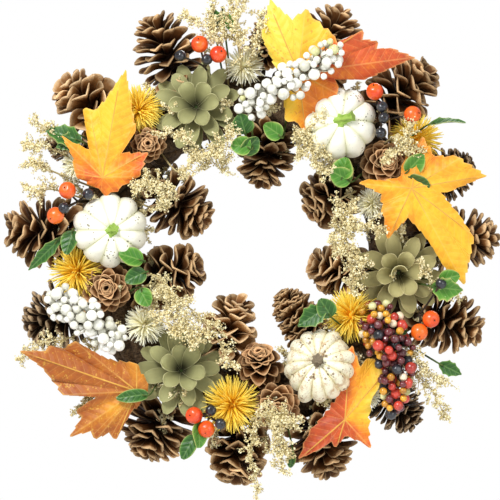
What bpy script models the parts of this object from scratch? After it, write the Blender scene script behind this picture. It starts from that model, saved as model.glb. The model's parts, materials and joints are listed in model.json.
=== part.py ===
"""A harvest door wreath: cones, pumpkins, flowers, leaves and berries rooted on a ring of vines.

The wreath hangs from a wire loop. The origin is the point where a hook bears under the top of
that loop, +Z is up, and the front of the wreath faces -Y. A decoration's place is given as a
clock angle round the wreath (0 at the top, clockwise from the front), a turn round the vine
tube (0 faces forward, 90 points outward, -90 points into the middle) and a lift off the tube.
"""

from math import asin, cos, pi, radians, sin

import bmesh
import bpy
from mathutils import Matrix, Vector

MM = 0.001

# The vine ring: a round bundle pressed flat where it lies against the door.
RING_RADIUS = 107 * MM
TUBE_RADIUS = 21.5 * MM
TUBE_BACK = 11 * MM  # from the middle of the tube to its flat back
RING_STEPS = 40
TUBE_STEPS = 11

# The hanger: a wire band round the tube with an eye, and a loop that swings in the eye.
WIRE_RADIUS = 1.0 * MM
WIRE_SIDES = 8
BAND_GAP = 0.4 * MM
BAND_STEPS = 17
EYE_STEPS = 12
EYE_HOLE = 1.7 * MM
EYE_DEPTH = 4 * MM  # from the flat back forward to the eye
LOOP_WIDTH = 17 * MM  # between the middles of the loop's sides
LOOP_HEIGHT = 18 * MM  # from the hinge to the middle of the top wire
LOOP_CORNER = 4.5 * MM

# Decorations.
SEAT_GAP = 0.4 * MM  # between the tube and whatever is rooted on it
STEM_RADIUS = 1.3 * MM
ROUND_SIDES = 10
LEAF_THICKNESS = 1.0 * MM

PUMPKIN_RADIUS = 27 * MM
PUMPKIN_HEIGHT = 38 * MM
FLOWER_RADIUS = 30 * MM
FLOWER_HEIGHT = 25 * MM
YELLOW_THISTLE_RADIUS = 14 * MM
STRAW_THISTLE_RADIUS = 10.5 * MM
BIG_BERRY_RADIUS = 6 * MM
SMALL_BERRY_RADIUS = 4 * MM
PICK_WIRE_RADIUS = 0.8 * MM
PICK_FORK = 0.55  # how far along a pick's wire forks

# Pine cones: name, clock, turn, lift, widest radius, length.
PINE_CONES = (
    ("outer_pine_cone_1", 4, 73, 10, 13, 34),
    ("outer_pine_cone_2", 20, 77, 8, 20, 56),
    ("outer_pine_cone_3", 44, 77, 8, 19, 54),
    ("outer_pine_cone_4", 69, 77, 10, 15, 38),
    ("outer_pine_cone_5", 87, 77, 3, 19, 52),
    ("outer_pine_cone_6", 110, 77, 3, 19, 50),
    ("outer_pine_cone_7", 137, 80, 4, 15, 46),
    ("outer_pine_cone_8", 160, 77, 3, 19, 46),
    ("outer_pine_cone_9", 184, 76, 3, 18, 42),
    ("outer_pine_cone_10", 208, 76, 3, 21, 42),
    ("outer_pine_cone_11", 251, 77, 2, 19, 46),
    ("outer_pine_cone_12", 275, 77, 3, 20, 52),
    ("outer_pine_cone_13", 312, 77, 6, 20, 54),
    ("outer_pine_cone_14", 337, 77, 6, 20, 56),
    ("inner_pine_cone_1", 9, -72, 1, 15, 42),
    ("inner_pine_cone_2", 56, -72, 2, 15, 38),
    ("inner_pine_cone_3", 103, -72, 2, 14, 44),
    ("inner_pine_cone_4", 145, -84, 3, 12.5, 46),
    ("inner_pine_cone_5", 195, -72, 7, 15, 48),
    ("inner_pine_cone_6", 253, -72, 7, 15, 46),
    ("inner_pine_cone_7", 302, -72, 7, 15, 46),
    ("teasel_head", 299, 88, 9, 10, 34),
)

# Rosette cones, wide and low: name, clock, turn, lift, widest radius, length.
ROSETTE_CONES = (
    ("rosette_cone_1", 316, 0, 0, 11, 24),
    ("rosette_cone_2", 255, 1, 0, 14, 26),
    ("rosette_cone_3", 57, 14, 0, 14, 26),
    ("rosette_cone_4", 176, -44, 0, 14, 26),
    ("rosette_cone_5", 171, 14, 0, 14, 26),
)

# Pumpkins: name, clock, turn, lift, stem height, lobes.
PUMPKINS = (
    ("white_pumpkin_left", 278, -6, 0.5, 6, 10),
    ("white_pumpkin_right", 35, 7, 0.5, 9, 10),
    ("mottled_pumpkin", 149, -14, 0.5, 8, 14),
)

# Wood-shaving flowers: name, clock, turn.
WOOD_FLOWERS = (
    ("wood_flower_top", 339, 9),
    ("wood_flower_right", 99, 3),
    ("wood_flower_bottom", 210, -12),
)

# Thistle heads: name, clock, turn, lift.
YELLOW_THISTLES = (
    ("yellow_thistle_1", 321, 40, 6),
    ("yellow_thistle_2", 263, 37, 3),
    ("yellow_thistle_3", 187, 10, 3),
    ("yellow_thistle_4", 123, -33, 6),
    ("yellow_thistle_5", 56, 60, 12),
)
STRAW_THISTLES = (
    ("straw_thistle_1", 358, 46, 8),
    ("straw_thistle_2", 296, 50, 15),
    ("straw_thistle_3", 235, -24, 3),
    ("straw_thistle_4", 69, -24, 3),
    ("straw_thistle_5", 142, 40, 12),
)

# Maple leaves: name, clock, across (outward from the tube's middle circle), height (forward
# of the tube's front), where the stalk is rooted (clock, turn), and lobes. A lobe is its
# heading (clockwise from up, seen from the front), its length, and how far its tip stands
# forward of the middle of the leaf.
MAPLE_LEAVES = (
    ("maple_leaf_left", 296, 12, 29, (298, 20),
     ((8, 84, 0), (345, 56, -8), (316, 48, -10), (56, 44, 2))),
    ("maple_leaf_top", 15, 25, 31, (8, 50),
     ((336, 56, -6), (5, 46, -6), (56, 60, -2), (84, 86, -4), (112, 20, 2), (178, 42, -4))),
    ("maple_leaf_right", 69, 17, 29, (70, 40),
     ((14, 34, -2), (82, 56, -8), (130, 62, -8), (205, 40, -4), (276, 36, 4))),
    ("maple_leaf_lower_left", 219, 24, 29, (226, 50),
     ((288, 82, -8), (308, 50, -6), (232, 62, -8), (90, 8, 0))),
    ("maple_leaf_lower_right", 151, 33, 24, (147, 60),
     ((22, 38, 2), (58, 34, 0), (140, 34, -4), (222, 48, -4))),
)
LEAF_MIDDLE = 6  # how far the middle of a leaf reaches where there's no lobe
LEAF_WEB = 3.0  # a lower number fills the gaps between lobes
LOBE_SPREAD = 40  # degrees to each side of a lobe's vein
LEAF_STEPS = 48

# Berry sprays: name, girth, where they are rooted (clock, turn), and stations along the middle
# (clock, across, height).
BERRY_SPRAYS = (
    ("white_berry_spray_top", 9, (358, -6),
     ((357, -6, 28), (5, 5, 40), (14, 19, 43), (23, 49, 41))),
    ("white_berry_spray_left", 9, (237, 20),
     ((236, 11, 24), (243, 15, 33), (250, 25, 34), (256, 37, 28))),
    ("mixed_berry_spray", 10, (122, 0),
     ((121, 0, 18), (123, 11, 30), (130, 28, 32), (138, 47, 25))),
)

# Berry picks: name, where they are rooted (clock, turn), then each berry in turn
# (clock, across, height, size).
BIG, SMALL = 1, 0
BERRY_PICKS = (
    ("berry_pick_1", (346, 78), ((346, 46, 27, BIG), (347, 34, 30, SMALL), (340, 42, 28, SMALL))),
    ("berry_pick_2", (287, 60), ((289, 17, 30, SMALL), (288, 32, 31, BIG), (280, 36, 30, BIG))),
    ("berry_pick_3", (194, 52), ((194, 12, 30, SMALL), (199, 19, 30, BIG), (194, 26, 28, BIG))),
    ("berry_pick_4", (46, 60), ((48, 19, 30, SMALL), (38, 38, 27, BIG), (50, 45, 28, BIG))),
    ("berry_pick_5", (114, 62), ((116, 28, 28, BIG), (111, 32, 28, BIG), (100, 32, 30, SMALL))),
)

# What follows from the sizes above.
SEAT = TUBE_RADIUS + SEAT_GAP
BACK_CORNER = (TUBE_RADIUS**2 - TUBE_BACK**2) ** 0.5
EYE_REACH = BACK_CORNER + BAND_GAP + 2 * WIRE_RADIUS + EYE_HOLE + 1.5 * MM
HOOK_ABOVE_HINGE = LOOP_HEIGHT - WIRE_RADIUS
MIDDLE = Vector((0, EYE_DEPTH, -HOOK_ABOVE_HINGE - RING_RADIUS - EYE_REACH))
FORWARD = Vector((0, -1, 0))
HINGE = Vector((0, 0, -HOOK_ABOVE_HINGE))


def material(name, colour, roughness, metallic=0.0):
    """Returns a Principled material in one colour."""
    made = bpy.data.materials.new(name)
    made.use_nodes = True
    shader = made.node_tree.nodes["Principled BSDF"]
    shader.inputs["Base Color"].default_value = (*colour, 1)
    shader.inputs["Roughness"].default_value = roughness
    shader.inputs["Metallic"].default_value = metallic
    made.diffuse_color = (*colour, 1)
    return made


def outward(clock):
    """Points away from the wreath's middle at a clock angle."""
    return Vector((sin(radians(clock)), 0, cos(radians(clock))))


def point_at(clock, across, height):
    """A point at a clock angle, outward of the tube's middle circle and forward of its front."""
    distance = RING_RADIUS + across
    return MIDDLE + outward(clock) * distance + FORWARD * (TUBE_BACK + TUBE_RADIUS + height)


def facing(clock, turn):
    """The direction that a piece rooted on the tube faces."""
    return FORWARD * cos(radians(turn)) + outward(clock) * sin(radians(turn))


def seat(clock, turn):
    """The point just off the tube where a piece is rooted."""
    return point_at(clock, 0, -TUBE_RADIUS) + facing(clock, turn) * SEAT


def frame_along(direction):
    """Turns local +Z onto a direction, with local +X kept level where it can be."""
    side = Vector((0, 0, 1)).cross(direction)
    if side.length < 0.05:
        side = Vector((1, 0, 0))
    side.normalize()
    up = direction.cross(side).normalized()
    return Matrix((side, up, direction)).transposed().to_4x4()


def add_object(name, build, look, place=Matrix.Identity(4)):
    """Makes a named object from a bmesh builder, facing out, at a place."""
    mesh = bpy.data.meshes.new(name)
    shape = bmesh.new()
    build(shape)
    bmesh.ops.recalc_face_normals(shape, faces=shape.faces)
    shape.to_mesh(mesh)
    shape.free()
    mesh.materials.append(look)
    mesh.shade_smooth()
    mesh.set_sharp_from_angle(angle=radians(40))
    made = bpy.data.objects.new(name, mesh)
    bpy.context.collection.objects.link(made)
    made.matrix_world = place
    return made


def bridge_rings(shape, rings):
    """Joins rings of points by faces and closes both ends, which may be single points."""
    rows = [[shape.verts.new(point) for point in ring] for ring in rings]
    for first, second in zip(rows, rows[1:]):
        count = max(len(first), len(second))
        for step in range(count):
            corners = [
                first[step % len(first)],
                first[(step + 1) % len(first)],
                second[(step + 1) % len(second)],
                second[step % len(second)],
            ]
            shape.faces.new(list(dict.fromkeys(corners)))
    for end in (rows[0], rows[-1]):
        if len(end) > 2:
            shape.faces.new(end)


def ring_of_points(radius, height, sides, groove, lobes):
    """Points round local Z at a height, with grooves between lobes; no radius gives one point."""
    if radius <= 0:
        return [Vector((0, 0, height))]
    ring = []
    for step in range(sides):
        angle = 2 * pi * step / sides
        reach = radius * (1 - groove + groove * cos(lobes * angle))
        ring.append(Vector((reach * cos(angle), reach * sin(angle), height)))
    return ring


def turned(profile, sides=ROUND_SIDES, groove=0.0, lobes=0):
    """Returns a builder that turns a profile of (radius, height), with grooves where it's wide."""
    widest = max(radius for radius, height in profile)

    def build(shape):
        rings = []
        for radius, height in profile:
            depth = groove * (radius / widest) ** 2
            rings.append(ring_of_points(radius, height, sides, depth, lobes))
        bridge_rings(shape, rings)

    return build


def rooted_profile(lift, profile):
    """Puts a wired stem under a profile that starts at height 0, down to the seat."""
    if lift <= 0:
        return list(profile)
    raised = [(radius, height + lift) for radius, height in profile]
    return [(STEM_RADIUS, 0), (STEM_RADIUS, lift), *raised]


def place_on_tube(clock, turn):
    """The place of a piece rooted on the tube, with local +Z facing away from the tube."""
    return Matrix.Translation(seat(clock, turn)) @ frame_along(facing(clock, turn))


def swept(path, radii, sides):
    """Returns a builder that sweeps a round section along a path; a radius of 0 is a point."""

    def build(shape):
        rings = []
        before = (path[1] - path[0]).normalized()
        side = before.orthogonal().normalized()
        for index, (middle, radius) in enumerate(zip(path, radii)):
            ahead = path[min(index + 1, len(path) - 1)] - path[max(index - 1, 0)]
            ahead.normalize()
            side = (before.rotation_difference(ahead) @ side).normalized()
            before = ahead
            other = ahead.cross(side)
            if radius <= 0:
                rings.append([middle])
                continue
            ring = []
            for step in range(sides):
                angle = 2 * pi * step / sides
                ring.append(middle + (side * cos(angle) + other * sin(angle)) * radius)
            rings.append(ring)
        bridge_rings(shape, rings)

    return build


def ball(centre, radius):
    """Returns a builder of a round berry."""

    def build(shape):
        place = Matrix.Translation(centre)
        bmesh.ops.create_icosphere(shape, subdivisions=2, radius=radius, matrix=place)

    return build


def closed_sweep(path, radius, sides, plane_normal):
    """Returns a builder that sweeps a round section round a closed flat path."""

    def build(shape):
        count = len(path)
        rows = []
        for index, middle in enumerate(path):
            ahead = (path[(index + 1) % count] - path[index - 1]).normalized()
            side = ahead.cross(plane_normal).normalized()
            row = []
            for step in range(sides):
                angle = 2 * pi * step / sides
                offset = side * cos(angle) + plane_normal * sin(angle)
                row.append(shape.verts.new(middle + offset * radius))
            rows.append(row)
        for index in range(count):
            join_rows(shape, rows[index], rows[(index + 1) % count])

    return build


def join_rows(shape, first, second):
    """Joins two rows of verts, each closed on itself, by four-sided faces."""
    count = len(first)
    for step in range(count):
        following = (step + 1) % count
        shape.faces.new((first[step], first[following], second[following], second[step]))


def spline(points, steps):
    """A smooth path through points, with a number of steps between each two."""
    path = []
    for index in range(len(points) - 1):
        before = points[max(index - 1, 0)]
        start = points[index]
        end = points[index + 1]
        after = points[min(index + 2, len(points) - 1)]
        for step in range(steps):
            t = step / steps
            path.append(
                0.5 * (2 * start + (end - before) * t
                       + (2 * before - 5 * start + 4 * end - after) * t**2
                       + (3 * start - before - 3 * end + after) * t**3)
            )
    path.append(points[-1].copy())
    return path


def flat_backed_round(radius, back, steps):
    """The outline of a round tube with a flat back, as (outward, forward) from its middle."""
    dip = asin(back / radius)
    outline = []
    for step in range(steps):
        angle = -dip + (pi + 2 * dip) * step / (steps - 1)
        outline.append((radius * cos(angle), radius * sin(angle)))
    return outline


def build_vine_ring(shape):
    """Sweeps the flat-backed round all round the wreath."""
    rows = []
    for step in range(RING_STEPS):
        row = []
        for reach, forward in flat_backed_round(TUBE_RADIUS, TUBE_BACK, TUBE_STEPS):
            point = point_at(360 * step / RING_STEPS, reach, forward - TUBE_RADIUS)
            row.append(shape.verts.new(point))
        rows.append(row)
    for step in range(RING_STEPS):
        join_rows(shape, rows[step], rows[(step + 1) % RING_STEPS])


def build_hanging_loop(shape):
    """A wire loop with rounded corners whose lower side lies in the eye."""
    half = LOOP_WIDTH / 2
    turns = (
        (half - LOOP_CORNER, LOOP_CORNER, -90),
        (half - LOOP_CORNER, LOOP_HEIGHT - LOOP_CORNER, 0),
        (LOOP_CORNER - half, LOOP_HEIGHT - LOOP_CORNER, 90),
        (LOOP_CORNER - half, LOOP_CORNER, 180),
    )
    path = []
    for across, height, start in turns:
        for step in range(5):
            angle = radians(start + 90 * step / 4)
            bend = Vector((cos(angle), 0, sin(angle))) * LOOP_CORNER
            path.append(Vector((across, 0, height)) + bend)
    closed_sweep(path, WIRE_RADIUS, WIRE_SIDES, Vector((0, 1, 0)))(shape)


def add_hanging_loop(look):
    """Adds the loop with its origin on the hinge."""
    add_object("hanging_loop", build_hanging_loop, look, Matrix.Translation(HINGE))


def unite(target, guide):
    """Joins a guide to a piece as one solid, and leaves the guide out of the model."""
    guide.hide_render = True
    guide.display_type = "WIRE"
    union = target.modifiers.new(guide.name, "BOOLEAN")
    union.operation = "UNION"
    union.object = guide


def add_hanger_band(look):
    """Adds the band round the tube, with the eye standing on it by a short foot."""
    grown = BAND_GAP + WIRE_RADIUS
    radius = TUBE_RADIUS + grown
    back = TUBE_BACK + grown
    path = []
    for reach, forward in flat_backed_round(radius, back, BAND_STEPS):
        path.append(point_at(0, reach, forward - TUBE_RADIUS))
    sideways = Vector((1, 0, 0))
    band = add_object("hanger_band", closed_sweep(path, WIRE_RADIUS, WIRE_SIDES, sideways), look)

    eye_radius = EYE_HOLE + WIRE_RADIUS
    eye_path = []
    for step in range(EYE_STEPS):
        angle = 2 * pi * step / EYE_STEPS
        eye_path.append(HINGE + Vector((0, cos(angle), sin(angle))) * eye_radius)
    eye = closed_sweep(eye_path, WIRE_RADIUS, WIRE_SIDES, sideways)
    unite(band, add_object("eye_guide", eye, look))
    foot_path = [HINGE - Vector((0, 0, eye_radius)), path[0].lerp(path[1], 0.5)]
    foot = swept(foot_path, [WIRE_RADIUS * 1.15] * 2, WIRE_SIDES - 1)
    unite(band, add_object("foot_guide", foot, look))


def add_pine_cones(look, dark_look):
    """Adds the long cones and the teasel, each tapering away from the ring."""
    outline = ((0.35, 0.0), (0.8, 0.06), (1.0, 0.25), (0.92, 0.5), (0.6, 0.78), (0.0, 1.0))
    for name, clock, turn, lift, radius, length in PINE_CONES:
        profile = [(radius * MM * wide, length * MM * high) for wide, high in outline]
        chosen = dark_look if name == "teasel_head" else look
        rooted = rooted_profile(lift * MM, profile)
        add_object(name, turned(rooted), chosen, place_on_tube(clock, turn))


def add_rosette_cones(look):
    """Adds the low round cones that face the viewer."""
    outline = ((0.3, 0.0), (0.75, 0.15), (1.0, 0.45), (0.9, 0.7), (0.5, 0.93), (0.0, 1.0))
    for name, clock, turn, lift, radius, length in ROSETTE_CONES:
        profile = [(radius * MM * wide, length * MM * high) for wide, high in outline]
        rooted = rooted_profile(lift * MM, profile)
        add_object(name, turned(rooted), look, place_on_tube(clock, turn))


def add_pumpkins(look):
    """Adds the lobed pumpkins, each with a stem in the dimple on its front."""
    outline = ((0.3, 0.02), (0.72, 0.08), (0.97, 0.3), (1.0, 0.52), (0.85, 0.8), (0.55, 0.97),
               (0.25, 0.93))
    dimple = PUMPKIN_HEIGHT * 0.9
    for name, clock, turn, lift, stem, lobes in PUMPKINS:
        profile = [(PUMPKIN_RADIUS * wide, PUMPKIN_HEIGHT * high) for wide, high in outline]
        for radius, share in ((3.4, 0), (2.2, 0.6), (2.8, 1)):
            profile.append((radius * MM, dimple + stem * MM * share))
        build = turned(rooted_profile(lift * MM, profile), 2 * lobes, 0.04, lobes)
        add_object(name, build, look, place_on_tube(clock, turn))


def add_wood_flowers(look):
    """Adds the flowers: a scalloped bowl of petals round a hollow middle."""
    outline = ((0.15, 0.0), (0.5, 0.1), (0.85, 0.35), (1.0, 0.62), (0.8, 0.75), (0.5, 1.0), (0.3, 0.9),
               (0.12, 0.6), (0.0, 0.55))
    for name, clock, turn in WOOD_FLOWERS:
        profile = [(FLOWER_RADIUS * wide, FLOWER_HEIGHT * high) for wide, high in outline]
        build = turned(profile, 20, 0.05, 10)
        add_object(name, build, look, place_on_tube(clock, turn))


def add_thistles(spots, radius, look):
    """Adds round thistle heads on their stems."""
    for name, clock, turn, lift in spots:
        profile = []
        for step in range(7):
            angle = pi * (0.12 + 0.88 * step / 6)
            profile.append((radius * sin(angle) if step < 6 else 0.0, radius * (1 - cos(angle))))
        base = profile[0][1]
        rooted = rooted_profile(lift * MM, [(wide, high - base) for wide, high in profile])
        add_object(name, turned(rooted), look, place_on_tube(clock, turn))


def leaf_reach(heading, lobes):
    """How far the leaf reaches at a heading, and how far forward it stands there."""
    total, forward = (LEAF_MIDDLE * MM) ** LEAF_WEB, 0.0
    for turn, length, rise in lobes:
        off = abs((heading - turn + 180) % 360 - 180)
        share = max(0.0, 1 - off / LOBE_SPREAD)
        total += (length * MM * share) ** LEAF_WEB
        forward += rise * MM * share**2
    return total ** (1 / LEAF_WEB), forward


def leaf_plate(middle, lobes):
    """Returns a builder of a thin leaf round its middle, with veins' tips at its lobes."""

    def build(shape):
        rims = []
        for half in (LEAF_THICKNESS / 2, -LEAF_THICKNESS / 2):
            rim = []
            for step in range(LEAF_STEPS):
                heading = 360 * step / LEAF_STEPS
                reach, forward = leaf_reach(heading, lobes)
                spot = middle + outward(heading) * reach + FORWARD * (forward + half)
                rim.append(shape.verts.new(spot))
            hub = shape.verts.new(middle + FORWARD * half)
            for step in range(LEAF_STEPS):
                shape.faces.new((hub, rim[step], rim[(step + 1) % LEAF_STEPS]))
            rims.append(rim)
        join_rows(shape, *rims)

    return build


def add_maple_leaves(looks):
    """Adds the leaves, each with a wired stalk that roots it in the ring."""
    for name, clock, across, height, root, lobes in MAPLE_LEAVES:
        middle = point_at(clock, across * MM, height * MM)
        leaf = add_object(name, leaf_plate(middle, lobes), looks[name])
        bend = seat(*root) + facing(*root) * (height * MM / 3)
        path = spline([seat(*root), bend, middle], 3)
        stalk = swept(path, [STEM_RADIUS] * len(path), 6)
        unite(leaf, add_object(name + "_stalk_guide", stalk, looks[name]))


def add_berry_sprays(looks):
    """Adds each spray as one full, soft body that rises from the ring and follows it."""
    for name, girth, root, stations in BERRY_SPRAYS:
        points = [seat(*root)]
        points += [point_at(clock, across * MM, height * MM) for clock, across, height in stations]
        path = spline(points, 4)
        radii = []
        for index in range(len(path)):
            along = index / (len(path) - 1)
            fullness = max(0.0, min(1.0, (along - 0.2) / 0.2))
            radii.append(max(STEM_RADIUS, girth * MM * fullness * (1 - 0.45 * along)))
        radii[-1] = 0.0
        add_object(name, swept(path, radii, 8), looks[name])


def add_berry_picks(look):
    """Adds the picks: a wire rises from the ring, forks, and carries a berry on each branch."""
    for name, root, berries in BERRY_PICKS:
        start = seat(*root)
        centres = [point_at(clock, across * MM, height * MM) for clock, across, height, size in berries]
        fork = start.lerp(sum(centres, Vector()) / len(centres), PICK_FORK)
        wires = [swept([start, fork, centres[0]], [PICK_WIRE_RADIUS] * 3, 6)]
        for centre in centres[1:]:
            wires.append(swept([fork.lerp(start, 0.06), centre], [PICK_WIRE_RADIUS] * 2, 6))
        pick = add_object(name, wires[0], look)
        for number, wire in enumerate(wires[1:]):
            unite(pick, add_object(f"{name}_wire_guide_{number}", wire, look))
        for number, (centre, berry) in enumerate(zip(centres, berries)):
            radius = BIG_BERRY_RADIUS if berry[3] == BIG else SMALL_BERRY_RADIUS
            guide = add_object(f"{name}_berry_guide_{number}", ball(centre, radius), look)
            unite(pick, guide)


def main():
    """Empties the scene and makes the wreath."""
    for old in list(bpy.data.objects):
        bpy.data.objects.remove(old, do_unlink=True)
    vine = material("vine", (0.2, 0.12, 0.07), 0.8)
    wire = material("wire", (0.3, 0.25, 0.2), 0.45, 0.9)
    cone = material("pine cone", (0.2, 0.1, 0.05), 0.7)
    teasel = material("teasel", (0.09, 0.05, 0.03), 0.8)
    pumpkin = material("pumpkin", (0.85, 0.84, 0.76), 0.45)
    sage = material("sage wood", (0.36, 0.39, 0.24), 0.75)
    yellow = material("yellow straw", (0.85, 0.55, 0.1), 0.7)
    straw = material("pale straw", (0.72, 0.64, 0.42), 0.75)
    orange = material("orange leaf", (0.85, 0.35, 0.05), 0.6)
    white = material("white berry", (0.85, 0.84, 0.8), 0.4)
    mixed = material("mixed berry", (0.35, 0.06, 0.05), 0.3)
    berry = material("orange berry", (0.8, 0.15, 0.03), 0.3)

    add_object("vine_ring", build_vine_ring, vine)
    add_hanger_band(wire)
    add_hanging_loop(wire)
    add_pine_cones(cone, teasel)
    add_rosette_cones(cone)
    add_pumpkins(pumpkin)
    add_wood_flowers(sage)
    add_thistles(YELLOW_THISTLES, YELLOW_THISTLE_RADIUS, yellow)
    add_thistles(STRAW_THISTLES, STRAW_THISTLE_RADIUS, straw)
    add_maple_leaves({leaf[0]: orange for leaf in MAPLE_LEAVES})
    add_berry_sprays({spray[0]: mixed if "mixed" in spray[0] else white for spray in BERRY_SPRAYS})
    add_berry_picks(berry)


main()
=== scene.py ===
import json
from math import atan2, cos, pi, radians, sin

import bmesh
import bpy
import numpy as np
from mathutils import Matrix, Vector


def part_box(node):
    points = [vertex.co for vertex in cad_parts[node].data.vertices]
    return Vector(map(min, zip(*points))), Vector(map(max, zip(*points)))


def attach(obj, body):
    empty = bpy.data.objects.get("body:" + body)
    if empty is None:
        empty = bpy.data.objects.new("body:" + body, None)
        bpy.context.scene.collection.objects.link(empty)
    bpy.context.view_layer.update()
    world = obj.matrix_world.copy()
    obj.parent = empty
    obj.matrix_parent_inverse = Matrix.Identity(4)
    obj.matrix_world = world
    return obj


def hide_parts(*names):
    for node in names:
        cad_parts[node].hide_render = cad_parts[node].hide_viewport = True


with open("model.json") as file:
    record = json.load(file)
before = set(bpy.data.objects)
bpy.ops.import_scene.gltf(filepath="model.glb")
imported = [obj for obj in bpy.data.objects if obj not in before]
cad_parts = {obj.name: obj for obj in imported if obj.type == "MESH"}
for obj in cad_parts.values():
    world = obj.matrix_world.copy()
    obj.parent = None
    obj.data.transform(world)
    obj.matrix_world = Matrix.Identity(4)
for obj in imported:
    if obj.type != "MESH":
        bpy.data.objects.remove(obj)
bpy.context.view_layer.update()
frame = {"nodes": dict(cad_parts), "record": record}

MM = 0.001
FORWARD = np.array([0.0, -1.0, 0.0])
UP = np.array([0.0, 0.0, 1.0])

# The ring that everything is rooted on, from the frame.
mounts = {mount["name"]: mount["pos_m"] for mount in frame["record"]["mounts"]}
RING = abs(mounts["back_rest_left"][0])
CENTRE = np.array([0.0, mounts["back_rest_left"][1], mounts["back_rest_left"][2]])
TUBE_BACK = 11 * MM  # from the middle of the vine bundle to its flat back
ring_low, ring_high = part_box("vine_ring")
TUBE = (ring_high.y - ring_low.y) - TUBE_BACK

FOOT_DEPTH = 0.85  # where a stem starts inside the bundle, as a share of the bundle's radius
STALK_DEPTH = 0.75  # the same for the stalk under a round head
PRESS_DEPTH = 14 * MM  # how far in front of the door the backs of pieces start to be pressed flat

# How far round the next scale of a cone stands.
GOLDEN = pi * (3 - 5**0.5)


# ---------------------------------------------------------------- places

def unit(vector):
    """The same direction with a length of one, for one vector or many."""
    vector = np.asarray(vector, float)
    return vector / np.maximum(np.linalg.norm(vector, axis=-1, keepdims=True), 1e-12)


def outward(clock):
    """Points away from the wreath's middle at a clock angle in degrees."""
    return np.array([sin(radians(clock)), 0.0, cos(radians(clock))])


def spot(clock, across, height):
    """A point by clock angle, mm outward of the bundle's middle and mm forward of its front."""
    forward = FORWARD * (TUBE_BACK + TUBE + height * MM)
    return CENTRE + outward(clock) * (RING + across * MM) + forward


def flat_spot(x, z, height):
    """A point in mm right of and above the wreath's middle, and forward of the bundle's front."""
    forward = FORWARD * (TUBE_BACK + TUBE + height * MM)
    return CENTRE + np.array([x * MM, 0.0, z * MM]) + forward


def seat(clock, turn):
    """A point just under the bundle's surface, at a turn from forward towards outward."""
    way = FORWARD * cos(radians(turn)) + outward(clock) * sin(radians(turn))
    return CENTRE + outward(clock) * RING + FORWARD * TUBE_BACK + way * TUBE * FOOT_DEPTH


def rooted(point):
    """The place just under the bundle's surface that is nearest to a point."""
    heart = CENTRE + unit((point - CENTRE) * (1, 0, 1)) * RING + FORWARD * TUBE_BACK
    return heart + unit(point - heart) * TUBE * FOOT_DEPTH


def pressed(points):
    """Presses what would reach behind the ring's flat back into the space in front of the door."""
    door = CENTRE[1]
    knee = door - PRESS_DEPTH
    deepest = points[:, 1].max()
    if deepest > door:
        behind = points[:, 1] > knee
        points[behind, 1] = knee + (points[behind, 1] - knee) * (door - knee) / (deepest - knee)
    return points


class Stance:
    """Where a round piece stands: its root, the way it faces, its base, top and widest radius."""

    def __init__(self, node):
        verts = frame["nodes"][node].data.vertices
        points = np.unique(np.round([tuple(vert.co) for vert in verts], 6), axis=0)
        middle = points.mean(axis=0)
        clock = atan2(middle[0] - CENTRE[0], middle[2] - CENTRE[2])
        out = np.array([sin(clock), 0.0, cos(clock)])
        self.root = CENTRE + out * RING + FORWARD * TUBE_BACK
        self.axis = unit(middle - self.root)
        heights = (points - self.root) @ self.axis
        spread = np.linalg.norm(points - self.root - heights[:, None] * self.axis, axis=1)
        self.radius = spread.max()
        self.seat = heights.min()
        self.base = heights[spread > 0.14 * self.radius].min()
        self.top = heights.max()
        level = UP if abs(self.axis[2]) < 0.95 else np.array([1.0, 0.0, 0.0])
        self.side = unit(np.cross(level, self.axis))
        self.up = np.cross(self.axis, self.side)

    def place(self, across, height):
        """Points from (side, up) offsets and a height along the axis."""
        across = np.asarray(across, float)
        height = np.asarray(height, float)
        turned = across[..., :1] * self.side + across[..., 1:] * self.up
        return self.root + turned + height[..., None] * self.axis


# ---------------------------------------------------------------- mesh making

class Shape:
    """Gathers many small closed shells into one mesh, with four values at each point."""

    def __init__(self):
        self.points, self.faces, self.values, self.looks = [], [], [], []
        self.count = 0

    def add(self, shell_parts, look=0, along=0.0, edge=0.0, tone=0.0, off=0.0):
        """Adds one closed shell, turned so that its faces look out."""
        points, faces = shell_parts
        centred = points - points.mean(axis=0)
        corners = centred[faces]
        if np.einsum("ij,ij->", corners[:, 0], np.cross(corners[:, 1], corners[:, 2])) < 0:
            faces = faces[:, ::-1]
        values = np.empty((len(points), 4), np.float32)
        for column, value in enumerate((along, edge, tone, off)):
            values[:, column] = value
        self.points.append(points)
        self.faces.append(faces + self.count)
        self.values.append(values)
        self.looks.append(np.full(len(faces), look, np.int32))
        self.count += len(points)

    def make(self, name, looks, slot, nodes=(), body="wreath"):
        """Makes the piece, which rides on its body and stands for its CAD nodes."""
        points = pressed(np.concatenate(self.points))
        faces = np.concatenate(self.faces)
        mesh = bpy.data.meshes.new(name)
        mesh.vertices.add(len(points))
        mesh.vertices.foreach_set("co", points.astype(np.float32).ravel())
        mesh.loops.add(faces.size)
        mesh.loops.foreach_set("vertex_index", faces.astype(np.int32).ravel())
        mesh.polygons.add(len(faces))
        mesh.polygons.foreach_set("loop_start", np.arange(0, faces.size, 3, dtype=np.int32))
        mesh.polygons.foreach_set("material_index", np.concatenate(self.looks))
        values = np.concatenate(self.values)
        for column, label in enumerate(("along", "edge", "tone", "off")):
            layer = mesh.attributes.new(label, "FLOAT", "POINT")
            layer.data.foreach_set("value", np.ascontiguousarray(values[:, column]))
        mesh.update(calc_edges=True)
        mesh.validate()
        mesh.shade_smooth()
        mesh.set_sharp_from_angle(angle=radians(60))
        for look in looks:
            mesh.materials.append(look)
        piece = bpy.data.objects.new(name, mesh)
        bpy.context.scene.collection.objects.link(piece)
        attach(piece, body)
        if nodes:
            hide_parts(*nodes)
        return piece


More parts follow.
